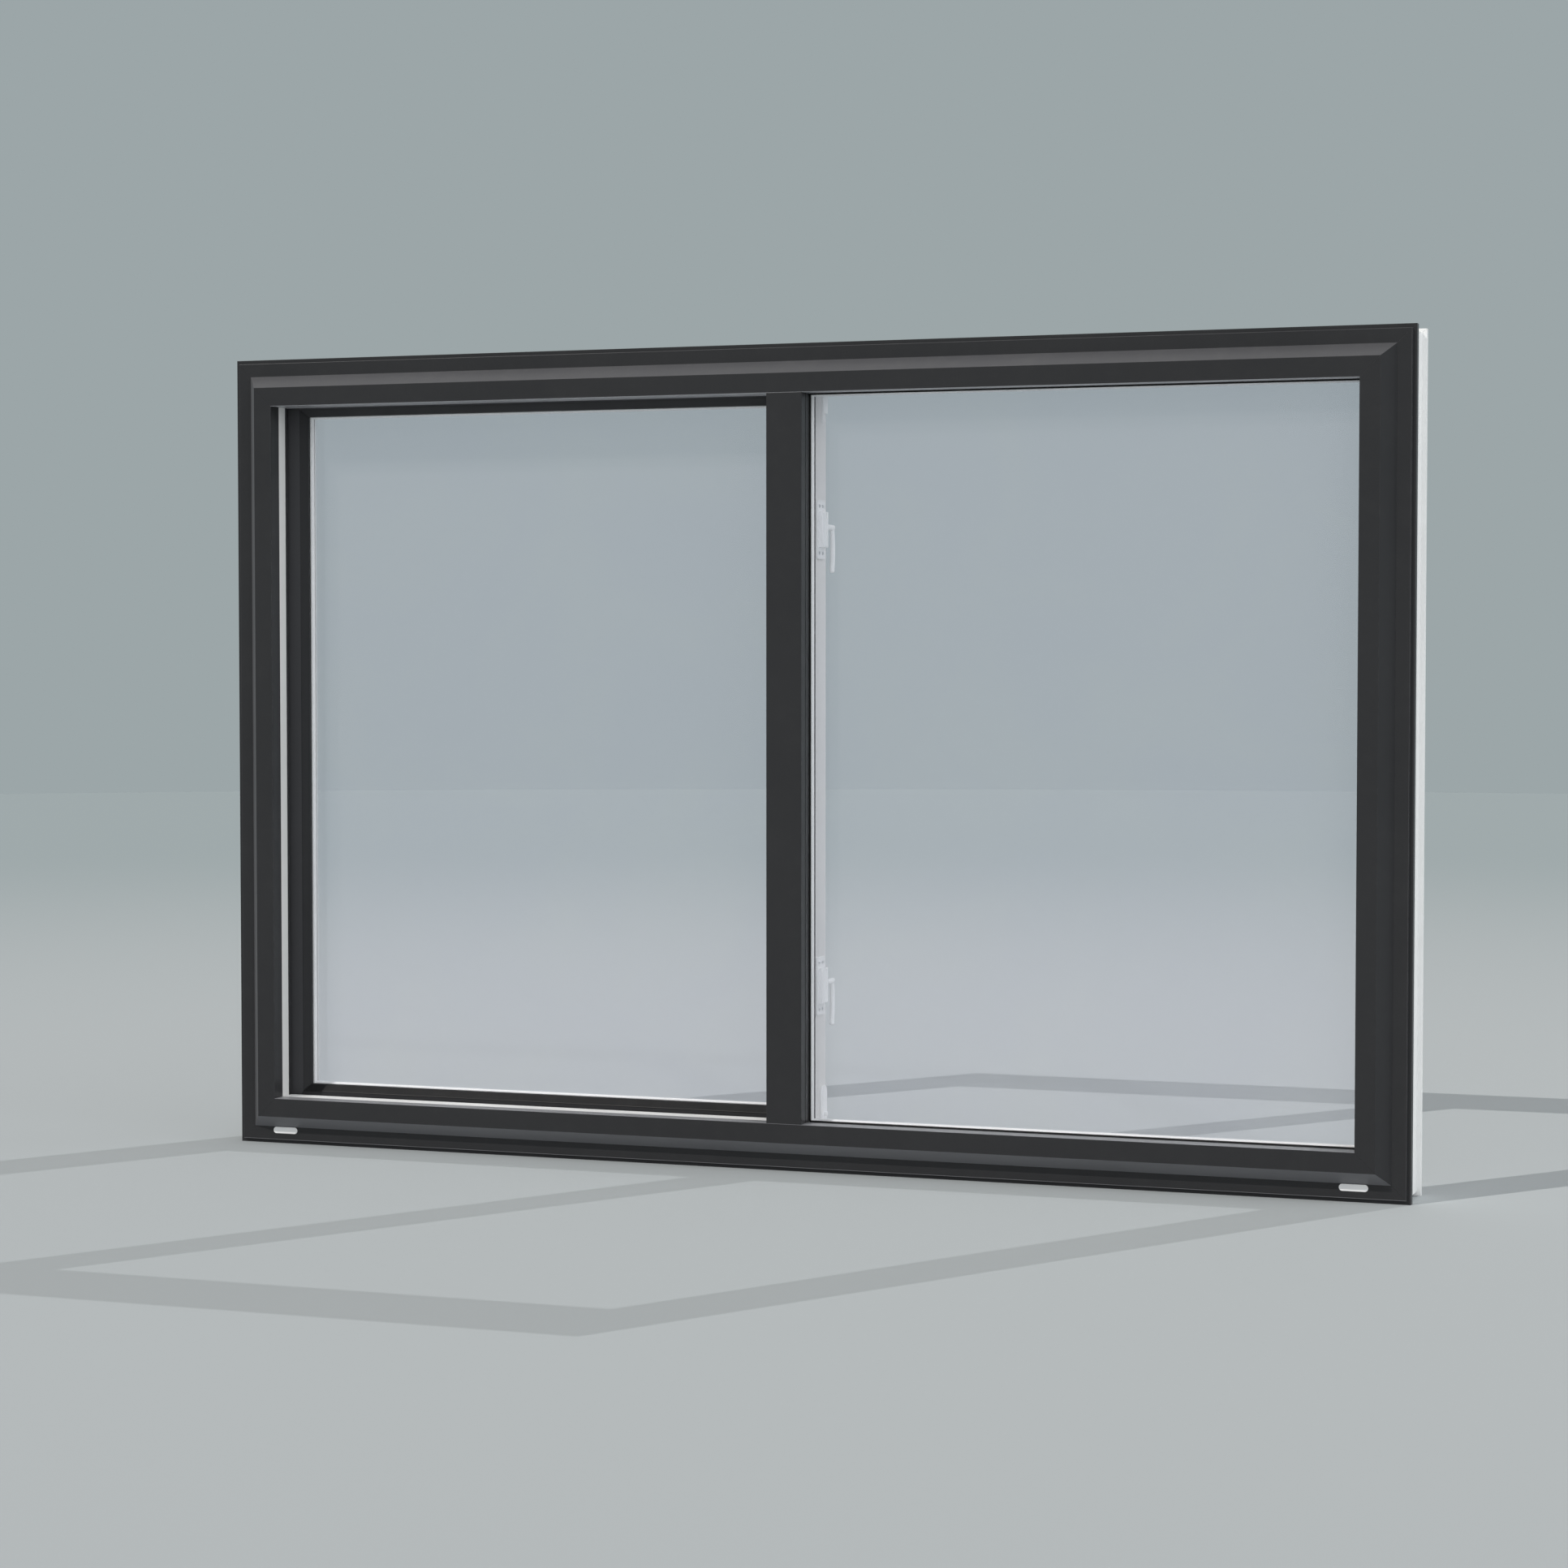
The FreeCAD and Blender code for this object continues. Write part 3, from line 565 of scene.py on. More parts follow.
@dataclass(frozen=True)
class TrimFinish(MitredFinish):
    """Charcoal with painted light and shade on the bevel and the ledge, and a painted highlight on the
    rim's edge.

    Args:
        band: First and last inset of the bevel.
        ledge: Inset past which the bar's ledge lies.
        rim: First and last inset of the rim's edge.
        band_color: Colour of the bevel: painted light, set for the light that falls on it.
        ledge_color: Colour of the ledge: painted light where light falls on it.
        rim_color: Colour of the rim's edge: a painted highlight.
    """

    band: tuple[float, float] = (22 * MM, 37.5 * MM)
    ledge: float = 61.2 * MM
    rim: tuple[float, float] = (4.5 * MM, 5.6 * MM)
    band_color: Color = (0.03, 0.03, 0.03)
    ledge_color: Color = (0.03, 0.03, 0.03)
    rim_color: Color = (0.06, 0.06, 0.06)

    def base(self, graph: Graph, where: NodeSocket,
             cloud: NodeSocket) -> NodeSocket:
        """Charcoal with its bands of painted light and shade.

        Args:
            graph: The material's graph.
            where: Object coordinates.
            cloud: The skin's slow noise.

        Returns:
            The colour's socket.
        """
        inset = self.inset(graph, where).outputs["Inset"]
        color = super().base(graph, where, cloud)
        # Paint each band's light and shade over the charcoal.
        for (low, high), lit_tone in ((self.band, self.band_color), (self.rim, self.rim_color),
                                      ((self.ledge, 1.0), self.ledge_color)):
            color = graph.blend(graph.between(inset, low, high), color,
                                graph.mottle(cloud, lit_tone, swing=0.04))
        return color


@dataclass(frozen=True)
class LinerFinish(Finish):
    """White liner whose rear edge is charcoal, where the sash closes against it.

    Args:
        cap: Colour of the rear edge.
        cap_front: Depth where the charcoal starts.
    """

    cap: Color = (0.03, 0.03, 0.03)
    cap_front: float = 0.0

    def base(self, graph: Graph, where: NodeSocket,
             cloud: NodeSocket) -> NodeSocket:
        """White in front, charcoal behind.

        Args:
            graph: The material's graph.
            where: Object coordinates.
            cloud: The skin's slow noise.

        Returns:
            The colour's socket.
        """
        depth = graph.node("ShaderNodeSeparateXYZ", {0: where}).outputs[1]
        behind = graph.calc("GREATER_THAN", depth, self.cap_front)
        return graph.blend(behind, super().base(graph, where, cloud), shade(self.cap))


@dataclass(frozen=True)
class TwoToneFinish(MitredFinish):
    """White vinyl with a charcoal cap on its outside face and glass bevel.

    Args:
        cap: Colour of the cap on the face.
        bevel_cap: Colour of the cap on the bevel.
        cap_back: Depth where the cap ends on the outer edges.
        bevel_inset: Inset where the glass bevel starts.
        bevel_back: Depth where the cap ends at the glass.
    """

    cap: Color = (0.03, 0.03, 0.03)
    bevel_cap: Color = (0.03, 0.03, 0.03)
    cap_back: float = 0.0
    bevel_inset: float = 0.03
    bevel_back: float = 0.01

    def base(self, graph: Graph, where: NodeSocket,
             cloud: NodeSocket) -> NodeSocket:
        """White behind, charcoal in front.

        Args:
            graph: The material's graph.
            where: Object coordinates.
            cloud: The skin's slow noise.

        Returns:
            The colour's socket.
        """
        color = super().base(graph, where, cloud)
        depth = graph.node("ShaderNodeSeparateXYZ", {0: where}).outputs[1]
        inset = self.inset(graph, where).outputs["Inset"]
        face = graph.calc("LESS_THAN", depth, self.cap_back)
        bevel = graph.calc("MULTIPLY", graph.calc("GREATER_THAN", inset, self.bevel_inset),
                           graph.calc("LESS_THAN", depth, self.bevel_back))
        for mask, capstock in ((face, self.cap), (bevel, self.bevel_cap)):
            color = graph.blend(mask, color, graph.mottle(cloud, capstock, swing=0.03))
        return color


@dataclass(frozen=True)
class GlassFinish(Finish):
    """Clear float glass with a faint cool haze.

    Args:
        haze: Share of light that the haze scatters.
        passing: Colour of the light that goes straight through.
        index: Refractive index.
        film: How much paler the colour is under a smear.
    """

    haze: float = 0.032
    passing: Color = (0.985, 0.985, 0.985)
    index: float = 1.5
    film: float = 1.01

    def build(self) -> Material:
        """Build the glass.

        Returns:
            The finished material.
        """
        material, graph, shader, coords = self.begin()
        where = coords.outputs["Object"]
        smears = graph.node("ShaderNodeTexNoise", {"Vector": where, "Scale": 5.0, "Detail": 5.0,
                                                   "Roughness": 0.6, "Distortion": 0.6})
        smear = graph.smooth_step(smears.outputs[0], low=0.35, high=0.75)
        graph.feed(shader.inputs["Base Color"],
                   graph.blend(smear, shade(self.color), shade(self.color, self.film)))
        graph.feed(shader.inputs["Roughness"], graph.calc("MULTIPLY", smear, self.roughness))
        shader.inputs["Transmission Weight"].default_value = 1.0 - self.haze
        shader.inputs["IOR"].default_value = self.index
        clear = graph.node("ShaderNodeBsdfTransparent", {"Color": shade(self.passing)})
        # Shadow and diffuse rays go straight through, or the floor behind would be lit twice.
        rays = graph.node("ShaderNodeLightPath")
        through = graph.calc("MAXIMUM", rays.outputs["Is Shadow Ray"], rays.outputs["Is Diffuse Ray"])
        mixed = graph.node("ShaderNodeMixShader", {0: through, 1: shader.outputs[0],
                                                   2: clear.outputs[0]})
        output = next(n for n in graph.tree.nodes if n.type == "OUTPUT_MATERIAL")
        graph.feed(output.inputs["Surface"], mixed.outputs[0])
        return material


@dataclass(frozen=True)
class MetalFinish(Finish):
    """Brushed or plated metal.

    Args:
        streak: How far the lines change the roughness.
        streak_mean: What they add to it on average.
        relief: Strength of the lines' bump.
    """

    streak: float = 0.25
    streak_mean: float = 0.12
    relief: float = 0.4

    def build(self) -> Material:
        """Build the metal.

        Returns:
            The finished material.
        """
        material, graph, shader, coords = self.begin()
        where = coords.outputs["Object"]
        lines = graph.group(drawn_lines(), {"Vector": where, "Stretch": self.stretch}).outputs[0]
        skin = graph.group(moulded_skin(), {"Vector": where, "Pebbles": self.pebbles})
        graph.feed(shader.inputs["Base Color"], self.base(graph, where, skin.outputs["Cloud"]))
        shader.inputs["Metallic"].default_value = 1.0
        graph.feed(shader.inputs["Roughness"],
                   graph.calc("MULTIPLY_ADD", lines, self.streak, self.roughness - self.streak_mean))
        bump = graph.node("ShaderNodeBump", {"Height": lines, "Strength": self.relief,
                                             "Distance": self.bump})
        graph.feed(shader.inputs["Normal"], bump.outputs[0])
        return material


def soften(node: Object, width: float) -> None:
    """Round the sharp edges of a node with live modifiers.

    Args:
        node: The node's object.
        width: Width of the rounded edge.
    """
    weld = node.modifiers.new("joined", "WELD")
    weld.merge_threshold = WELD_GAP
    flat = node.modifiers.new("flat_faces", "DECIMATE")
    flat.decimate_type = "DISSOLVE"
    flat.angle_limit = FLAT_ANGLE
    edge = node.modifiers.new("soft_edges", "BEVEL")
    edge.width = width
    edge.segments = EDGE_FACES
    edge.limit_method = "ANGLE"
    edge.angle_limit = SHARP_ANGLE
    edge.use_clamp_overlap = True


def dress(node: Object, material: Material) -> None:
    """Give an object one material in place of what it has."""
    node.data.materials.clear()
    node.data.materials.append(material)


@dataclass(frozen=True)
class Bench:
    """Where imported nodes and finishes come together.

    Args:
        nodes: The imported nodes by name.
        paints: The materials by name.
    """

    nodes: dict[str, Object]
    paints: dict[str, Material]

    def finish(self, name: str, paint: str, soft: float = 0.0) -> None:
        """Round a node's edges where that is asked, and paint it.

        Args:
            name: Name of the node.
            paint: Name of its material.
            soft: Width of the rounded edges; zero leaves them sharp.
        """
        if soft:
            soften(self.nodes[name], soft)
        dress(self.nodes[name], self.paints[paint])
        LOG.info("%s: %s", name, paint)


class NodeMesh:
    """A plain mesh that a geometry node tree makes."""

    def __init__(self, name: str, inputs: dict[str, tuple[str, object]]) -> None:
        """Start a tree with a geometry input and named inputs.

        Args:
            name: Name of the tree.
            inputs: Short socket kind and value of each input.
        """
        self.values = inputs
        self.tree = bpy.data.node_groups.new(name, "GeometryNodeTree")
        sockets = self.tree.interface
        sockets.new_socket("Geometry", in_out="INPUT", socket_type="NodeSocketGeometry")
        for label, (kind, _) in inputs.items():
            sockets.new_socket(label, in_out="INPUT", socket_type=f"NodeSocket{kind}")
        sockets.new_socket("Geometry", in_out="OUTPUT", socket_type="NodeSocketGeometry")
        self.graph = Graph(self.tree)
        self.given = self.graph.node("NodeGroupInput").outputs

    def close(self, geometry: NodeSocket) -> None:
        """End the tree: realize, set the material and put out.

        Args:
            geometry: The last geometry of the tree.
        """
        real = self.graph.node("GeometryNodeRealizeInstances", {0: geometry})
        paint = self.graph.node("GeometryNodeSetMaterial", {"Geometry": real.outputs[0],
                                                            "Material": self.given["Material"]})
        self.graph.node("NodeGroupOutput", {0: paint.outputs[0]})

    def bake(self, name: str, source: Mesh, body: Body) -> Object:
        """Run the tree on a mesh and keep the result as a plain piece.

        Args:
            name: Name of the piece.
            source: Mesh that the tree starts from.
            body: Body that the piece rides on.

        Returns:
            The finished piece.
        """
        piece = bpy.data.objects.new(name, source)
        bpy.context.scene.collection.objects.link(piece)
        modifier = piece.modifiers.new("nodes", "NODES")
        modifier.node_group = self.tree
        for item in self.tree.interface.items_tree:
            if item.in_out == "INPUT" and item.name in self.values:
                modifier[item.identifier] = self.values[item.name][1]
        graph = bpy.context.evaluated_depsgraph_get()
        made = bpy.data.meshes.new_from_object(piece.evaluated_get(graph))
        piece.modifiers.clear()
        piece.data = made
        made.name = name
        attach(piece, body.value)
        LOG.info("%s: %d faces on %s", name, len(made.polygons), body.value)
        return piece


def loop_seal(name: str, rect: Rect, depth: float, radius: float, body: Body,
              material: Material) -> Object:
    """Make a round seal that follows a rectangle.

    Args:
        name: Name of the piece.
        rect: Path of the seal's middle.
        depth: Y of that path.
        radius: Radius of the seal.
        body: Body that the seal rides on.
        material: Its material.

    Returns:
        The finished seal.
    """
    centre = (rect.centre[0], depth, rect.centre[2])
    made = NodeMesh("seal_loop", {"Width": ("Float", rect.width), "Height": ("Float", rect.height),
                                  "Radius": ("Float", radius), "Centre": ("Vector", centre),
                                  "Material": ("Material", material)})
    graph, given = made.graph, made.given
    path = graph.node("GeometryNodeCurvePrimitiveQuadrilateral",
                      {"Width": given["Width"], "Height": given["Height"]})
    corner = graph.node("GeometryNodeFilletCurve", {"Curve": path.outputs[0],
                                                    "Count": SEAL_CORNER_STEPS,
                                                    "Radius": SEAL_CORNER}, mode="POLY")
    section = graph.node("GeometryNodeCurvePrimitiveCircle", {"Resolution": SEAL_FACES,
                                                              "Radius": given["Radius"]})
    tube = graph.node("GeometryNodeCurveToMesh", {"Curve": corner.outputs[0],
                                                  "Profile Curve": section.outputs[0]})
    upright = graph.node("GeometryNodeTransform", {"Geometry": tube.outputs[0],
                                                   "Translation": given["Centre"],
                                                   "Rotation": (math.pi / 2, 0, 0)})
    made.close(upright.outputs[0])
    return made.bake(name, bpy.data.meshes.new(name), body)


@dataclass(frozen=True)
class ScrewHead:
    """A domed screw head with a cross recess, looking along Z, to be placed many times.

    Args:
        radius: Radius of the head.
        rise: Height of the dome, a share of the radius.
        dome: Shares of radius and height at each ring of the dome.
        cross: Reach of the recess round a quarter of the head, shares of the radius.
        lip: Level of the recess's edge, a share of the height.
        taper: Size of the recess's floor, a share of its edge.
        floor: Level of that floor, a share of the height.
        sectors: Faces round the head.
    """

    radius: float
    rise: float = 0.36
    dome: tuple[tuple[float, float], ...] = ((1.0, 0.0), (0.96, 0.35), (0.82, 0.72), (0.6, 0.92),
                                             (0.42, 1.0))
    cross: tuple[float, ...] = (0.36, 0.24, 0.24, 0.17, 0.24, 0.24)
    lip: float = 0.96
    taper: float = 0.8
    floor: float = 0.25
    sectors: int = 24

    def ring(self, shape: bmesh.types.BMesh, shares: tuple[float, ...], level: float) -> list:
        """Add a ring of points.

        Args:
            shape: The mesh in work.
            shares: Radii that repeat round the ring, shares of the head's radius.
            level: Level of the ring, a share of the dome's height.

        Returns:
            The ring's points.
        """
        points = []
        for k in range(self.sectors):
            angle = math.tau * k / self.sectors
            reach = shares[k % len(shares)] * self.radius
            points.append(shape.verts.new((reach * math.cos(angle), reach * math.sin(angle),
                                           level * self.rise * self.radius)))
        return points

    def build(self) -> Object:
        """Make the head.

        Returns:
            An unlinked object that holds the head's mesh.
        """
        shape = bmesh.new()
        rings = [self.ring(shape, (share,), level) for share, level in self.dome]
        rings.append(self.ring(shape, self.cross, self.lip))
        rings.append(self.ring(shape, tuple(self.taper * part for part in self.cross), self.floor))
        for low, high in zip(rings, rings[1:]):
            for k in range(self.sectors):
                after = (k + 1) % self.sectors
                shape.faces.new((low[k], low[after], high[after], high[k]))
        shape.faces.new(rings[-1])
        shape.faces.new(list(reversed(rings[0])))
        bmesh.ops.recalc_face_normals(shape, faces=shape.faces)
        mesh = bpy.data.meshes.new("screw_head")
        shape.to_mesh(mesh)
        shape.free()
        return bpy.data.objects.new("screw_head", mesh)


def screws(name: str, points: list[Triple], facing: Triple, radius: float, body: Body,
           material: Material) -> Object:
    """Place screw heads at points.

    Args:
        name: Name of the piece.
        points: Seats of the heads.
        facing: Direction in which the heads look.
        radius: Radius of a head.
        body: Body that the screws ride on.
        material: Their material.

    Returns:
        The finished piece.
    """
    head = ScrewHead(radius).build()
    seats = bpy.data.meshes.new(name)
    seats.from_pydata(points, [], [])
    made = NodeMesh("screw_set", {"Head": ("Object", head), "Facing": ("Vector", facing),
                                  "Seed": ("Int", SCREW_SEED), "Material": ("Material", material)})
    graph, given = made.graph, made.given
    source = graph.node("GeometryNodeObjectInfo", {"Object": given["Head"]})
    aim = graph.node("FunctionNodeAlignRotationToVector", {"Vector": given["Facing"]}, axis="Z")
    spin = graph.node("FunctionNodeRandomValue", {"Seed": given["Seed"]}, data_type="FLOAT")
    angle = graph.calc("MULTIPLY", spin.outputs[1], math.pi)
    own = graph.node("FunctionNodeAxisAngleToRotation", {"Axis": (0, 0, 1), "Angle": angle})
    turned = graph.node("FunctionNodeRotateRotation", {0: aim.outputs[0], 1: own.outputs[0]},
                        rotation_space="LOCAL")
    placed = graph.node("GeometryNodeInstanceOnPoints", {"Points": given["Geometry"],
                                                         "Instance": source.outputs["Geometry"],
                                                         "Rotation": turned.outputs[0]})
    made.close(placed.outputs[0])
    piece = made.bake(name, seats, body)
    bpy.data.objects.remove(head)
    return piece


@dataclass(frozen=True)
class Lamp:
    """A far lamp.

    Args:
        name: Name of the lamp.
        travel: Direction in which its light goes.
        strength: Its strength.
        color: Its colour.
        spread: Its angle, degrees.
    """

    name: str
    travel: Triple
    strength: float
    color: Color = (1.0, 1.0, 1.0)
    spread: float = 0.2

    def build(self) -> None:
        """Hang the lamp."""
        data = bpy.data.lights.new(self.name, "SUN")
        data.energy = self.strength
        data.color = self.color
        data.angle = math.radians(self.spread)
        data.cycles.use_multiple_importance_sampling = False
        lamp = bpy.data.objects.new(self.name, data)
        lamp.rotation_euler = Vector(self.travel).to_track_quat("-Z", "Y").to_euler()
        bpy.context.scene.collection.objects.link(lamp)


@dataclass
class Studio:
    """Floor, light, backdrop and camera.

    Args:
        sensor: Width of the camera's sensor, millimetres.
        lens: Focal length, millimetres.
        eye: Place of the camera.
        yaw: Turn of the camera to the left, degrees.
        pitch: Tilt of the camera downwards, degrees.
        backdrop: Colour of the backdrop.
        floor: Colour of the floor.
        floor_far: Colour of the floor where it meets the backdrop.
        floor_reach: Radius of the floor.
        floor_edges: Edges round it.
        floor_rough: Its roughness.
        floor_gloss: Its specular level.
        fade: Distances between which the floor changes from one to the other.
        soft_color: Colour of the light from all round.
        soft: Its strength.
        soft_above: Strength that it gains overhead.
        soft_side: Strength that it gains at one side.
        side: Direction of that side.
        panel: Brightness of the overhead panel that glossy faces mirror.
    """

    sensor: float = 36.0
    lens: float = 77.846
    eye: Triple = (1.39824, -3.94483, 0.64314)
    yaw: float = 19.765
    pitch: float = 2.282
    backdrop: Color = (0.332, 0.381, 0.392)
    floor: Color = (0.49, 0.52, 0.531)
    floor_far: Color = (0.364, 0.416, 0.428)
    floor_reach: float = 11.4
    floor_edges: int = 96
    floor_rough: float = 0.9
    floor_gloss: float = 0.1
    fade: tuple[float, float] = (1.2, 7.0)
    soft_color: Color = (0.96, 0.985, 1.0)
    soft: float = 0.15
    soft_above: float = 0.05
    soft_side: float = 1.33
    side: Triple = (0.84, -0.54, 0.0)
    panel: float = 1.0
    lamps: tuple[Lamp, ...] = (Lamp("rear_lamp", (-0.391, -0.651, -0.651), 0.8),
                               Lamp("front_lamp", (0.455, 0.601, -0.657), 1.58, (1.0, 0.97, 0.93)))

    def add_camera(self) -> None:
        """Stand the camera where the photograph was taken."""
        data = bpy.data.cameras.new("camera")
        data.sensor_width = self.sensor
        data.lens = self.lens
        camera = bpy.data.objects.new("camera", data)
        camera.location = self.eye
        camera.rotation_euler = (math.radians(90 - self.pitch), 0.0, math.radians(self.yaw))
        bpy.context.scene.collection.objects.link(camera)
        bpy.context.scene.camera = camera

    def add_world(self) -> None:
        """Soft light from all round, with a plain backdrop where it is seen directly."""
        world = bpy.data.worlds.new("studio")
        bpy.context.scene.world = world
        world.use_nodes = True
        graph = Graph(world.node_tree)
        graph.tree.nodes.clear()
        ray = graph.node("ShaderNodeTexCoord").outputs["Generated"]
        up = graph.node("ShaderNodeSeparateXYZ", {0: ray}).outputs[2]
        aside = graph.node("ShaderNodeVectorMath", {0: ray, 1: self.side}, operation="DOT_PRODUCT")
        overhead = graph.smooth_step(up, low=0.1, high=0.9)
        sideways = graph.smooth_step(aside.outputs["Value"], low=0.0, high=1.0)
        above = graph.calc("MULTIPLY_ADD", overhead, self.soft_above, self.soft)
        strength = graph.calc("MULTIPLY_ADD", sideways, self.soft_side, above)
        light = graph.node("ShaderNodeBackground", {"Color": shade(self.soft_color),
                                                    "Strength": strength})
        back = graph.node("ShaderNodeBackground", {"Color": shade(self.backdrop)})
        panel = graph.blend(graph.smooth_step(up, low=0.4, high=0.85), shade(self.backdrop),
                            (self.panel, self.panel, self.panel, 1.0))
        mirrored = graph.node("ShaderNodeBackground", {"Color": panel})
        rays = graph.node("ShaderNodeLightPath")
        seen = graph.calc("MAXIMUM", rays.outputs["Is Camera Ray"],
                          rays.outputs["Is Transmission Ray"])
        direct = graph.node("ShaderNodeMixShader", {0: seen, 1: light.outputs[0],
                                                    2: back.outputs[0]})
        whole = graph.node("ShaderNodeMixShader", {0: rays.outputs["Is Glossy Ray"],
                                                   1: direct.outputs[0], 2: mirrored.outputs[0]})
        graph.node("ShaderNodeOutputWorld", {"Surface": whole.outputs[0]})

    def add_floor(self) -> None:
        """A wide round floor that fades into the backdrop far away."""
        mesh = bpy.data.meshes.new("floor")
        shape = bmesh.new()
        bmesh.ops.create_circle(shape, cap_ends=True, segments=self.floor_edges,
                                radius=self.floor_reach)
        shape.to_mesh(mesh)
        shape.free()
        floor = bpy.data.objects.new("floor", mesh)
        bpy.context.scene.collection.objects.link(floor)
        material = bpy.data.materials.new("floor")
        material.use_nodes = True
        graph = Graph(material.node_tree)
        graph.tree.nodes.clear()
        coords = graph.node("ShaderNodeTexCoord")
        far = graph.node("ShaderNodeVectorMath", {0: coords.outputs["Object"]}, operation="LENGTH")
        shader = graph.node("ShaderNodeBsdfPrincipled", {"Roughness": self.floor_rough,
                                                         "Specular IOR Level": self.floor_gloss})
        graph.feed(shader.inputs["Base Color"],
                   graph.blend(graph.smooth_step(far.outputs["Value"], *self.fade),
                               shade(self.floor), shade(self.floor_far)))
        graph.node("ShaderNodeOutputMaterial", {"Surface": shader.outputs[0]})
        dress(floor, material)

    def build(self) -> None:
        """Set up the whole studio."""
        bpy.context.scene.view_settings.view_transform = "Standard"
        self.add_camera()
        self.add_world()
        self.add_floor()
        for lamp in self.lamps:
            lamp.build()


@dataclass
class Palette:
    """All finishes of the window, built once.

    Args:
        window: Rectangle round the trim.
        sash: Rectangle round the sash.
        sash_front: Depth of the sash's outside face.
        charcoal: Dark colour of the outside.
        white: White of frame and beads.
        sill_white: White of the liner on the sill, lighter than the frame's white: painted light.
        shaded_white: White of the sash bars, greyer than the frame's white: painted shade.
        liner_white: White of the left liner, greyer than the frame's white: painted shade.
        liner_cap: How far in front of the sash the left liner turns charcoal.
        sash_cap: Depth of the charcoal cap on the sash's outer edges.
        sash_bevel: Inset where the sash's glass bevel starts.
        bevel_cap: Depth of the cap at the glass.
    """

    window: Rect
    sash: Rect
    sash_front: float
    charcoal: Color = charcoal_tone(0.0306)
    white: Color = (0.93, 0.93, 0.925)
    # The sill, sash and liner whites are the frame's white made lighter or greyer: painted light and
    # shade.
    sill_white: Color = (0.95, 0.95, 0.947)
    shaded_white: Color = (0.77, 0.76, 0.748)
    liner_white: Color = (0.79, 0.785, 0.775)
    liner_cap: float = 14.5 * MM
    sash_cap: float = 1.6 * MM
    sash_bevel: float = 26.5 * MM
    bevel_cap: float = 10.2 * MM

    def build(self) -> dict[str, Material]:
        """Build every finish.

        Returns:
            The materials by name.
        """
        # Pale edges on the charcoal: partly wear, partly a painted highlight along the edges.
        rubbed_and_highlit = {"roughness": 0.34, "worn": (0.17, 0.17, 0.17), "wear": 0.3, "dust": 0.03,
                  "gloss": 0.2}
        grey = self.charcoal
        # Each side of the trim gets its own tones of painted light and shade on bevel, ledge and rim's
        # edge.
        finishes: list[Finish] = [
            TrimFinish(f"charcoal_{side}", grey, rect=self.window, stretch=DIE_LINES[way_of(side)],
                       band_color=charcoal_tone(band), ledge_color=charcoal_tone(ledge),
                       rim_color=charcoal_tone(rim), **rubbed_and_highlit)
            for side, (band, ledge, rim) in TRIM_PAINTED_LIGHT.items()]
        finishes += [
            Finish("liner_level", self.sill_white, roughness=0.36, stretch=DIE_LINES["level"]),
            LinerFinish("liner_upright", self.liner_white, roughness=0.4, stretch=DIE_LINES["upright"],
                        cap=grey, cap_front=self.sash_front - self.liner_cap),
            GlassFinish("clear_glass", (0.965, 0.97, 1.0), roughness=0.003),
            Finish("spacer", (0.9, 0.9, 0.9), roughness=0.45, pebbles=1400.0, dust=0.0, wear=0.05),
            MetalFinish("drawn_aluminium", (0.74, 0.74, 0.75), roughness=0.36,
                        stretch=DIE_LINES["level"]),
            MetalFinish("plated_screw", (0.76, 0.76, 0.77), roughness=0.3,
                        stretch=(500.0, 500.0, 500.0)),
            Finish("seal_rubber", (0.015, 0.015, 0.0155), roughness=0.62, pebbles=1500.0,
                   worn=(0.05, 0.05, 0.05), gloss=0.2),
            Finish("pale_seal", (0.62, 0.62, 0.617), roughness=0.6, pebbles=1500.0, wear=0.05),
            Finish("pile", (0.5, 0.5, 0.5), roughness=0.8, pebbles=2500.0, dust=0.2, wear=0.0),
            Finish("latch_white", (0.94, 0.94, 0.94), roughness=0.22, pebbles=600.0, dust=0.0,
                   wear=0.1),
            Finish("nylon", (0.7, 0.7, 0.68), roughness=0.45, pebbles=1100.0),
        ]
        for way, lines in DIE_LINES.items():
            finishes += [Finish(f"charcoal_{way}", grey, stretch=lines, **rubbed_and_highlit),
                         Finish(f"white_{way}", self.white, roughness=0.36, stretch=lines)]
        # Each sash bar gets its own charcoal on face and bevel: painted light and shade.
        finishes += [
            TwoToneFinish(f"sash_{bar}", self.shaded_white, roughness=0.36, stretch=DIE_LINES[way],
                          gloss=0.1, dust=0.02, rect=self.sash, cap=charcoal_tone(face),
                          bevel_cap=charcoal_tone(bevel), cap_back=self.sash_front + self.sash_cap,
                          bevel_inset=self.sash_bevel, bevel_back=self.sash_front + self.bevel_cap)
            for bar, (way, face, bevel) in SASH_LIT_TONES.items()]
        return {finish.name: finish.build() for finish in finishes}


@dataclass
class OuterTrim:
    """Dark trim round the window, with its drain covers and the beads of the fixed glass.

    Args:
        soft: Width of the trim's rounded edges.
        bead_soft: Width of those on the beads.
        cover_soft: Width of those on the drain covers.
    """

    soft: float = 0.2 * MM
    bead_soft: float = 0.3 * MM
    cover_soft: float = 0.35 * MM

    def dress(self, bench: Bench) -> None:
        """Soften and paint the trim.

        Args:
            bench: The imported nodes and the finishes.
        """
        for side in SIDES:
            bench.finish(f"fixed_bead_{side}", f"charcoal_{way_of(side)}", self.bead_soft)
            bench.finish(f"trim_{side}", f"charcoal_{side}", self.soft)
        for side in ("left", "right"):
            bench.finish(f"weep_cover_{side}", "latch_white", self.cover_soft)


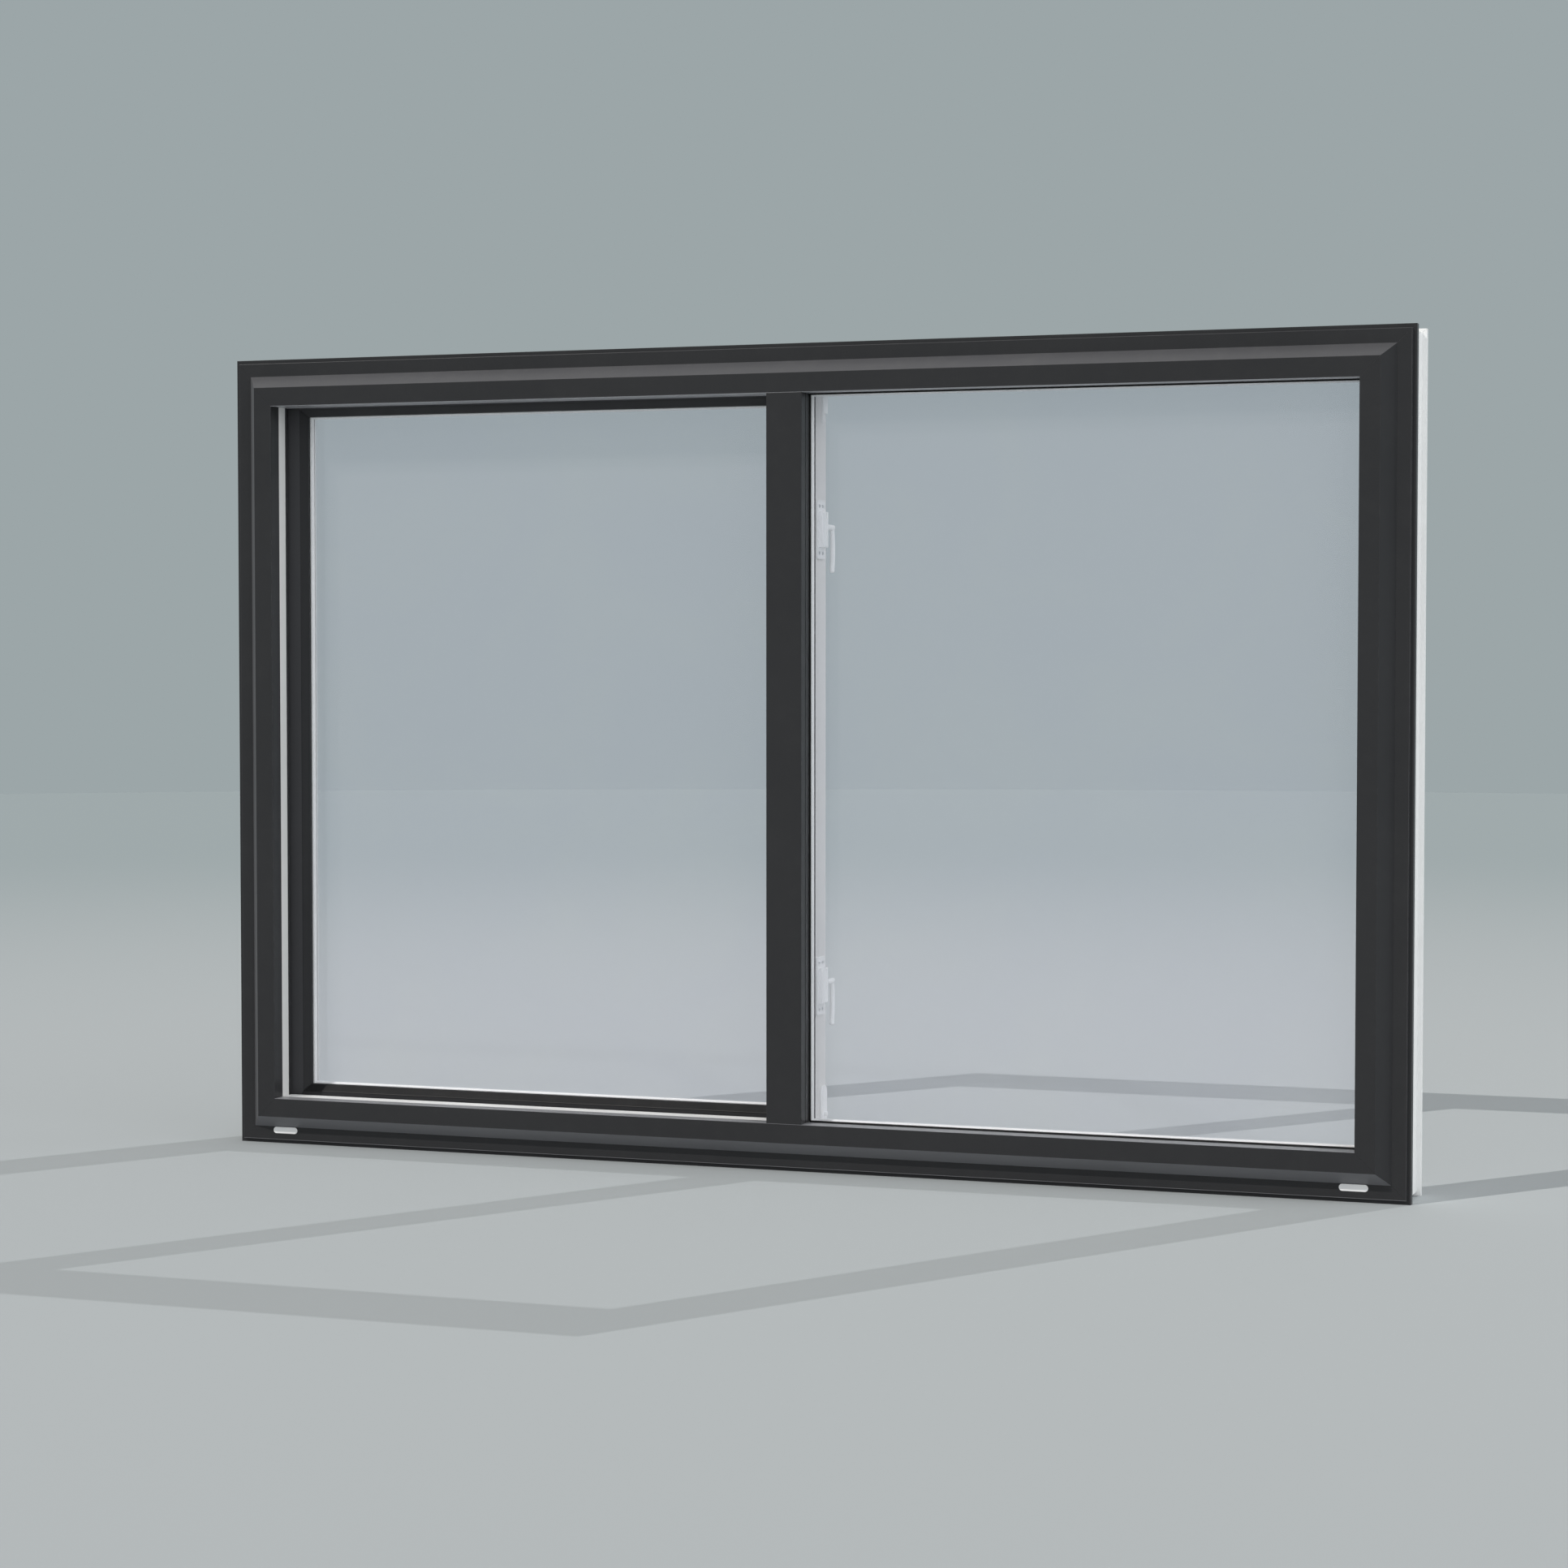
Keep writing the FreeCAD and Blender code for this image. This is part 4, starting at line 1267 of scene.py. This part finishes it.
@dataclass
class WhiteFrame:
    """White frame behind the trim, its liners, the middle post and the track.

    Args:
        soft: Width of the frame's rounded edges.
        post_soft: Width of those on the dark post.
        track_soft: Width of those on track and closing seal.
    """

    soft: float = 0.6 * MM
    post_soft: float = 0.5 * MM
    track_soft: float = 0.4 * MM

    def dress(self, bench: Bench) -> None:
        """Soften and paint the frame and what it carries.

        Args:
            bench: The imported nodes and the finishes.
        """
        for side in SIDES:
            bench.finish(f"frame_{side}", f"white_{way_of(side)}", self.soft)
        # The head liner takes the head trim's charcoal, with the painted light of its ledge.
        for name, paint, soft in (("liner_left", "liner_upright", self.soft),
                                  ("liner_head", "charcoal_head", self.soft),
                                  ("liner_sill", "liner_level", self.soft),
                                  ("mullion_post", "white_upright", self.soft),
                                  ("mullion_trim", "charcoal_upright", self.post_soft),
                                  ("track_rail", "drawn_aluminium", self.track_soft),
                                  ("track_stop", "nylon", self.track_soft),
                                  ("closing_seal", "seal_rubber", self.track_soft)):
            bench.finish(name, paint, soft)


@dataclass
class BrushPile:
    """Brush strips between the divider and the sash: a backing each, with tufts of pile.

    Args:
        width: Width of a strip.
        backing: Thickness of its backing.
        end_gap: Gap between strips at a corner.
        post_gap: Gap between the middle post's centre and the level strips.
        tufts: Tufts per square metre.
        tuft_root: Radius of a tuft at its root.
        tuft_tip: Radius at its tip.
        tuft_least: Size of the smallest tuft, a share of the largest.
        tuft_sides: Faces round a tuft.
    """

    width: float = 6 * MM
    backing: float = 0.8 * MM
    end_gap: float = 8 * MM
    post_gap: float = 30.8 * MM
    tufts: float = 420000.0
    tuft_root: float = 0.5 * MM
    tuft_tip: float = 0.16 * MM
    tuft_least: float = 0.84
    tuft_sides: int = 5

    def strips(self, low: Vector, high: Vector) -> list[Rect]:
        """The strips as upright rectangles.

        Args:
            low: Lowest corner of the strips' box.
            high: Highest corner of it.

        Returns:
            Head, sill, left and post strips.
        """
        inner_low = low.z + self.width + self.end_gap
        inner_high = high.z - self.width - self.end_gap
        return [Rect(low.x, -self.post_gap, high.z - self.width, high.z),
                Rect(low.x, -self.post_gap, low.z, low.z + self.width),
                Rect(low.x, low.x + self.width, inner_low, inner_high),
                Rect(high.x - self.width, high.x, inner_low, inner_high)]

    def backings(self, low: Vector, high: Vector) -> Mesh:
        """Closed flat strips that the pile stands on.

        Args:
            low: Lowest corner of the strips' box.
            high: Highest corner of it.

        Returns:
            Their mesh.
        """
        mesh = bpy.data.meshes.new("brush_backing")
        shape = bmesh.new()
        for strip in self.strips(low, high):
            corners = ((strip.left, strip.low), (strip.right, strip.low),
                       (strip.right, strip.high), (strip.left, strip.high))
            front = shape.faces.new([shape.verts.new((x, low.y, z)) for x, z in corners])
            grown = bmesh.ops.extrude_face_region(shape, geom=[front])["geom"]
            moved = [part for part in grown if isinstance(part, bmesh.types.BMVert)]
            bmesh.ops.translate(shape, verts=moved, vec=(0.0, self.backing, 0.0))
        bmesh.ops.recalc_face_normals(shape, faces=shape.faces)
        shape.to_mesh(mesh)
        shape.free()
        return mesh

    def build(self, bench: Bench) -> None:
        """Grow the pile on its backings, in place of the plain strips.

        Args:
            bench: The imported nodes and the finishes.
        """
        low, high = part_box("brush_strips")
        reach = high.y - low.y - self.backing
        made = NodeMesh("brush_pile", {"Density": ("Float", self.tufts), "Length": ("Float", reach),
                                       "Root": ("Float", self.tuft_root),
                                       "Tip": ("Float", self.tuft_tip), "Seed": ("Int", PILE_SEED),
                                       "Material": ("Material", bench.paints["pile"])})
        graph, given = made.graph, made.given
        normal = graph.node("GeometryNodeInputNormal").outputs[0]
        toward_sash = graph.node("ShaderNodeSeparateXYZ", {0: normal}).outputs[1]
        spots = graph.node("GeometryNodeDistributePointsOnFaces",
                           {"Mesh": given["Geometry"], "Density": given["Density"],
                            "Seed": given["Seed"],
                            "Selection": graph.calc("GREATER_THAN", toward_sash, 0.5)})
        tuft = graph.node("GeometryNodeMeshCone",
                          {"Vertices": self.tuft_sides, "Radius Top": given["Tip"],
                           "Radius Bottom": given["Root"], "Depth": given["Length"]})
        size = graph.node("FunctionNodeRandomValue",
                          {2: self.tuft_least, 3: 1.0, "Seed": given["Seed"]}, data_type="FLOAT")
        pile = graph.node("GeometryNodeInstanceOnPoints",
                          {"Points": spots.outputs[0], "Instance": tuft.outputs[0],
                           "Rotation": (-math.pi / 2, 0.0, 0.0), "Scale": size.outputs[1]})
        whole = graph.node("GeometryNodeJoinGeometry")
        graph.feed(whole.inputs[0], given["Geometry"])
        graph.feed(whole.inputs[0], pile.outputs[0])
        made.close(whole.outputs[0])
        piece = made.bake("brush_pile", self.backings(low, high), Body.FRAME)
        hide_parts("brush_strips")


@dataclass
class Glazing:
    """A glass unit with its spacer and its outer and inner seals.

    Args:
        name: First word of the unit's nodes.
        body: Body that the unit rides on.
        sight: Path of the outer seal.
        seal: Radius of the outer seal.
        back_sight: Path of the inner seal.
        back_seal: Radius of the inner seal.
        spacer_width: Width of the spacer, seen from the front.
        spacer_bead: Radius of the sealant bead along the spacer's inside.
    """

    name: str
    body: Body
    sight: Rect
    seal: float
    back_sight: Rect
    back_seal: float = 0.8 * MM
    spacer_width: float = 8 * MM
    spacer_bead: float = 1.8 * MM

    def dress(self, bench: Bench) -> None:
        """Paint the glass and its spacer, and lay the seals.

        Args:
            bench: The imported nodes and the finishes.
        """
        for sheet in ("outer", "inner"):
            bench.finish(f"{self.name}_pane_{sheet}", "clear_glass")
        bench.finish(f"{self.name}_spacer", "spacer")
        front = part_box(f"{self.name}_pane_outer")[0].y
        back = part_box(f"{self.name}_pane_inner")[1].y
        inside = rect_round(f"{self.name}_spacer").inset(self.spacer_width)
        for part, path, depth, radius, paint, slot in (
                ("seal_outer", self.sight, front - self.seal, self.seal, "seal_rubber", "seal_rubber"),
                ("seal_inner", self.back_sight, back + self.back_seal, self.back_seal, "pale_seal",
                 "seal_rubber"),
                ("spacer_bead", inside, (front + back) / 2, self.spacer_bead, "spacer", "spacer")):
            loop_seal(f"{self.name}_{part}", path, depth, radius, self.body, bench.paints[paint])


@dataclass
class Sash:
    """Sliding sash with its beads, glides, corner blocks and latches.

    Args:
        soft: Width of the bars' rounded edges.
        bead_soft: Width of those on the beads.
        fitting_soft: Width of those on corner blocks and latch plates.
        plate: Thickness of a latch plate.
        screw: Radius of a screw's head.
        screw_end: Distance of the screws from the plate's ends.
        screw_rows: Places of the screws across the plate, shares of its depth.
        screw_facing: Direction in which the screws look.
    """

    soft: float = 0.6 * MM
    bead_soft: float = 0.5 * MM
    fitting_soft: float = 0.4 * MM
    plate: float = 2 * MM
    screw: float = 2.6 * MM
    screw_end: float = 7 * MM
    screw_rows: tuple[float, float] = (0.28, 0.72)
    screw_facing: Triple = (1.0, 0.0, 0.0)

    def dress(self, bench: Bench) -> None:
        """Soften and paint the sash.

        Args:
            bench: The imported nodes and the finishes.
        """
        for bar in SASH_LIT_TONES:
            bench.finish(f"sash_{bar}", f"sash_{bar}", self.soft)
        for side in SIDES:
            bench.finish(f"sash_bead_{side}", f"white_{way_of(side)}", self.bead_soft)
        for side in ("left", "right"):
            bench.finish(f"glide_{side}", "nylon")
        for end in ("top", "bottom"):
            bench.finish(f"corner_block_{end}", "latch_white", self.fitting_soft)

    def add_latches(self, bench: Bench) -> None:
        """Paint the latches and seat their screws.

        Args:
            bench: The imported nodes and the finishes.
        """
        seats = []
        for name in ("upper", "lower"):
            bench.finish(f"latch_body_{name}", "latch_white", self.fitting_soft)
            bench.finish(f"latch_lever_{name}", "latch_white")
            low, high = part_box(f"latch_body_{name}")
            for level in (low.z + self.screw_end, high.z - self.screw_end):
                for row in self.screw_rows:
                    seats.append((low.x + self.plate, low.y + row * (high.y - low.y), level))
        screws("latch_screws", seats, self.screw_facing, self.screw, Body.SASH,
               bench.paints["plated_screw"])


def main() -> None:
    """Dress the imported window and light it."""
    logging.basicConfig(level=logging.INFO, format="%(message)s")
    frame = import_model()
    window = rect_round("trim_head", "trim_sill")
    sash = rect_round("sash_top_rail", "sash_bottom_rail")
    fixed = rect_round("fixed_bead_head", "fixed_bead_sill")
    sash_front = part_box("sash_top_rail")[0].y
    bench = Bench(frame["nodes"], Palette(window, sash, sash_front).build())
    OuterTrim().dress(bench)
    WhiteFrame().dress(bench)
    BrushPile().build(bench)
    Glazing("fixed", Body.FRAME, sight=fixed.inset(13.9 * MM), seal=1.3 * MM,
            back_sight=fixed.inset(10.6 * MM)).dress(bench)
    Glazing("sash", Body.SASH, sight=sash.inset(35.9 * MM), seal=0.5 * MM,
            back_sight=sash.inset(36.4 * MM)).dress(bench)
    moving = Sash()
    moving.dress(bench)
    moving.add_latches(bench)
    Studio().build()


if __name__ == "__main__":
    main()
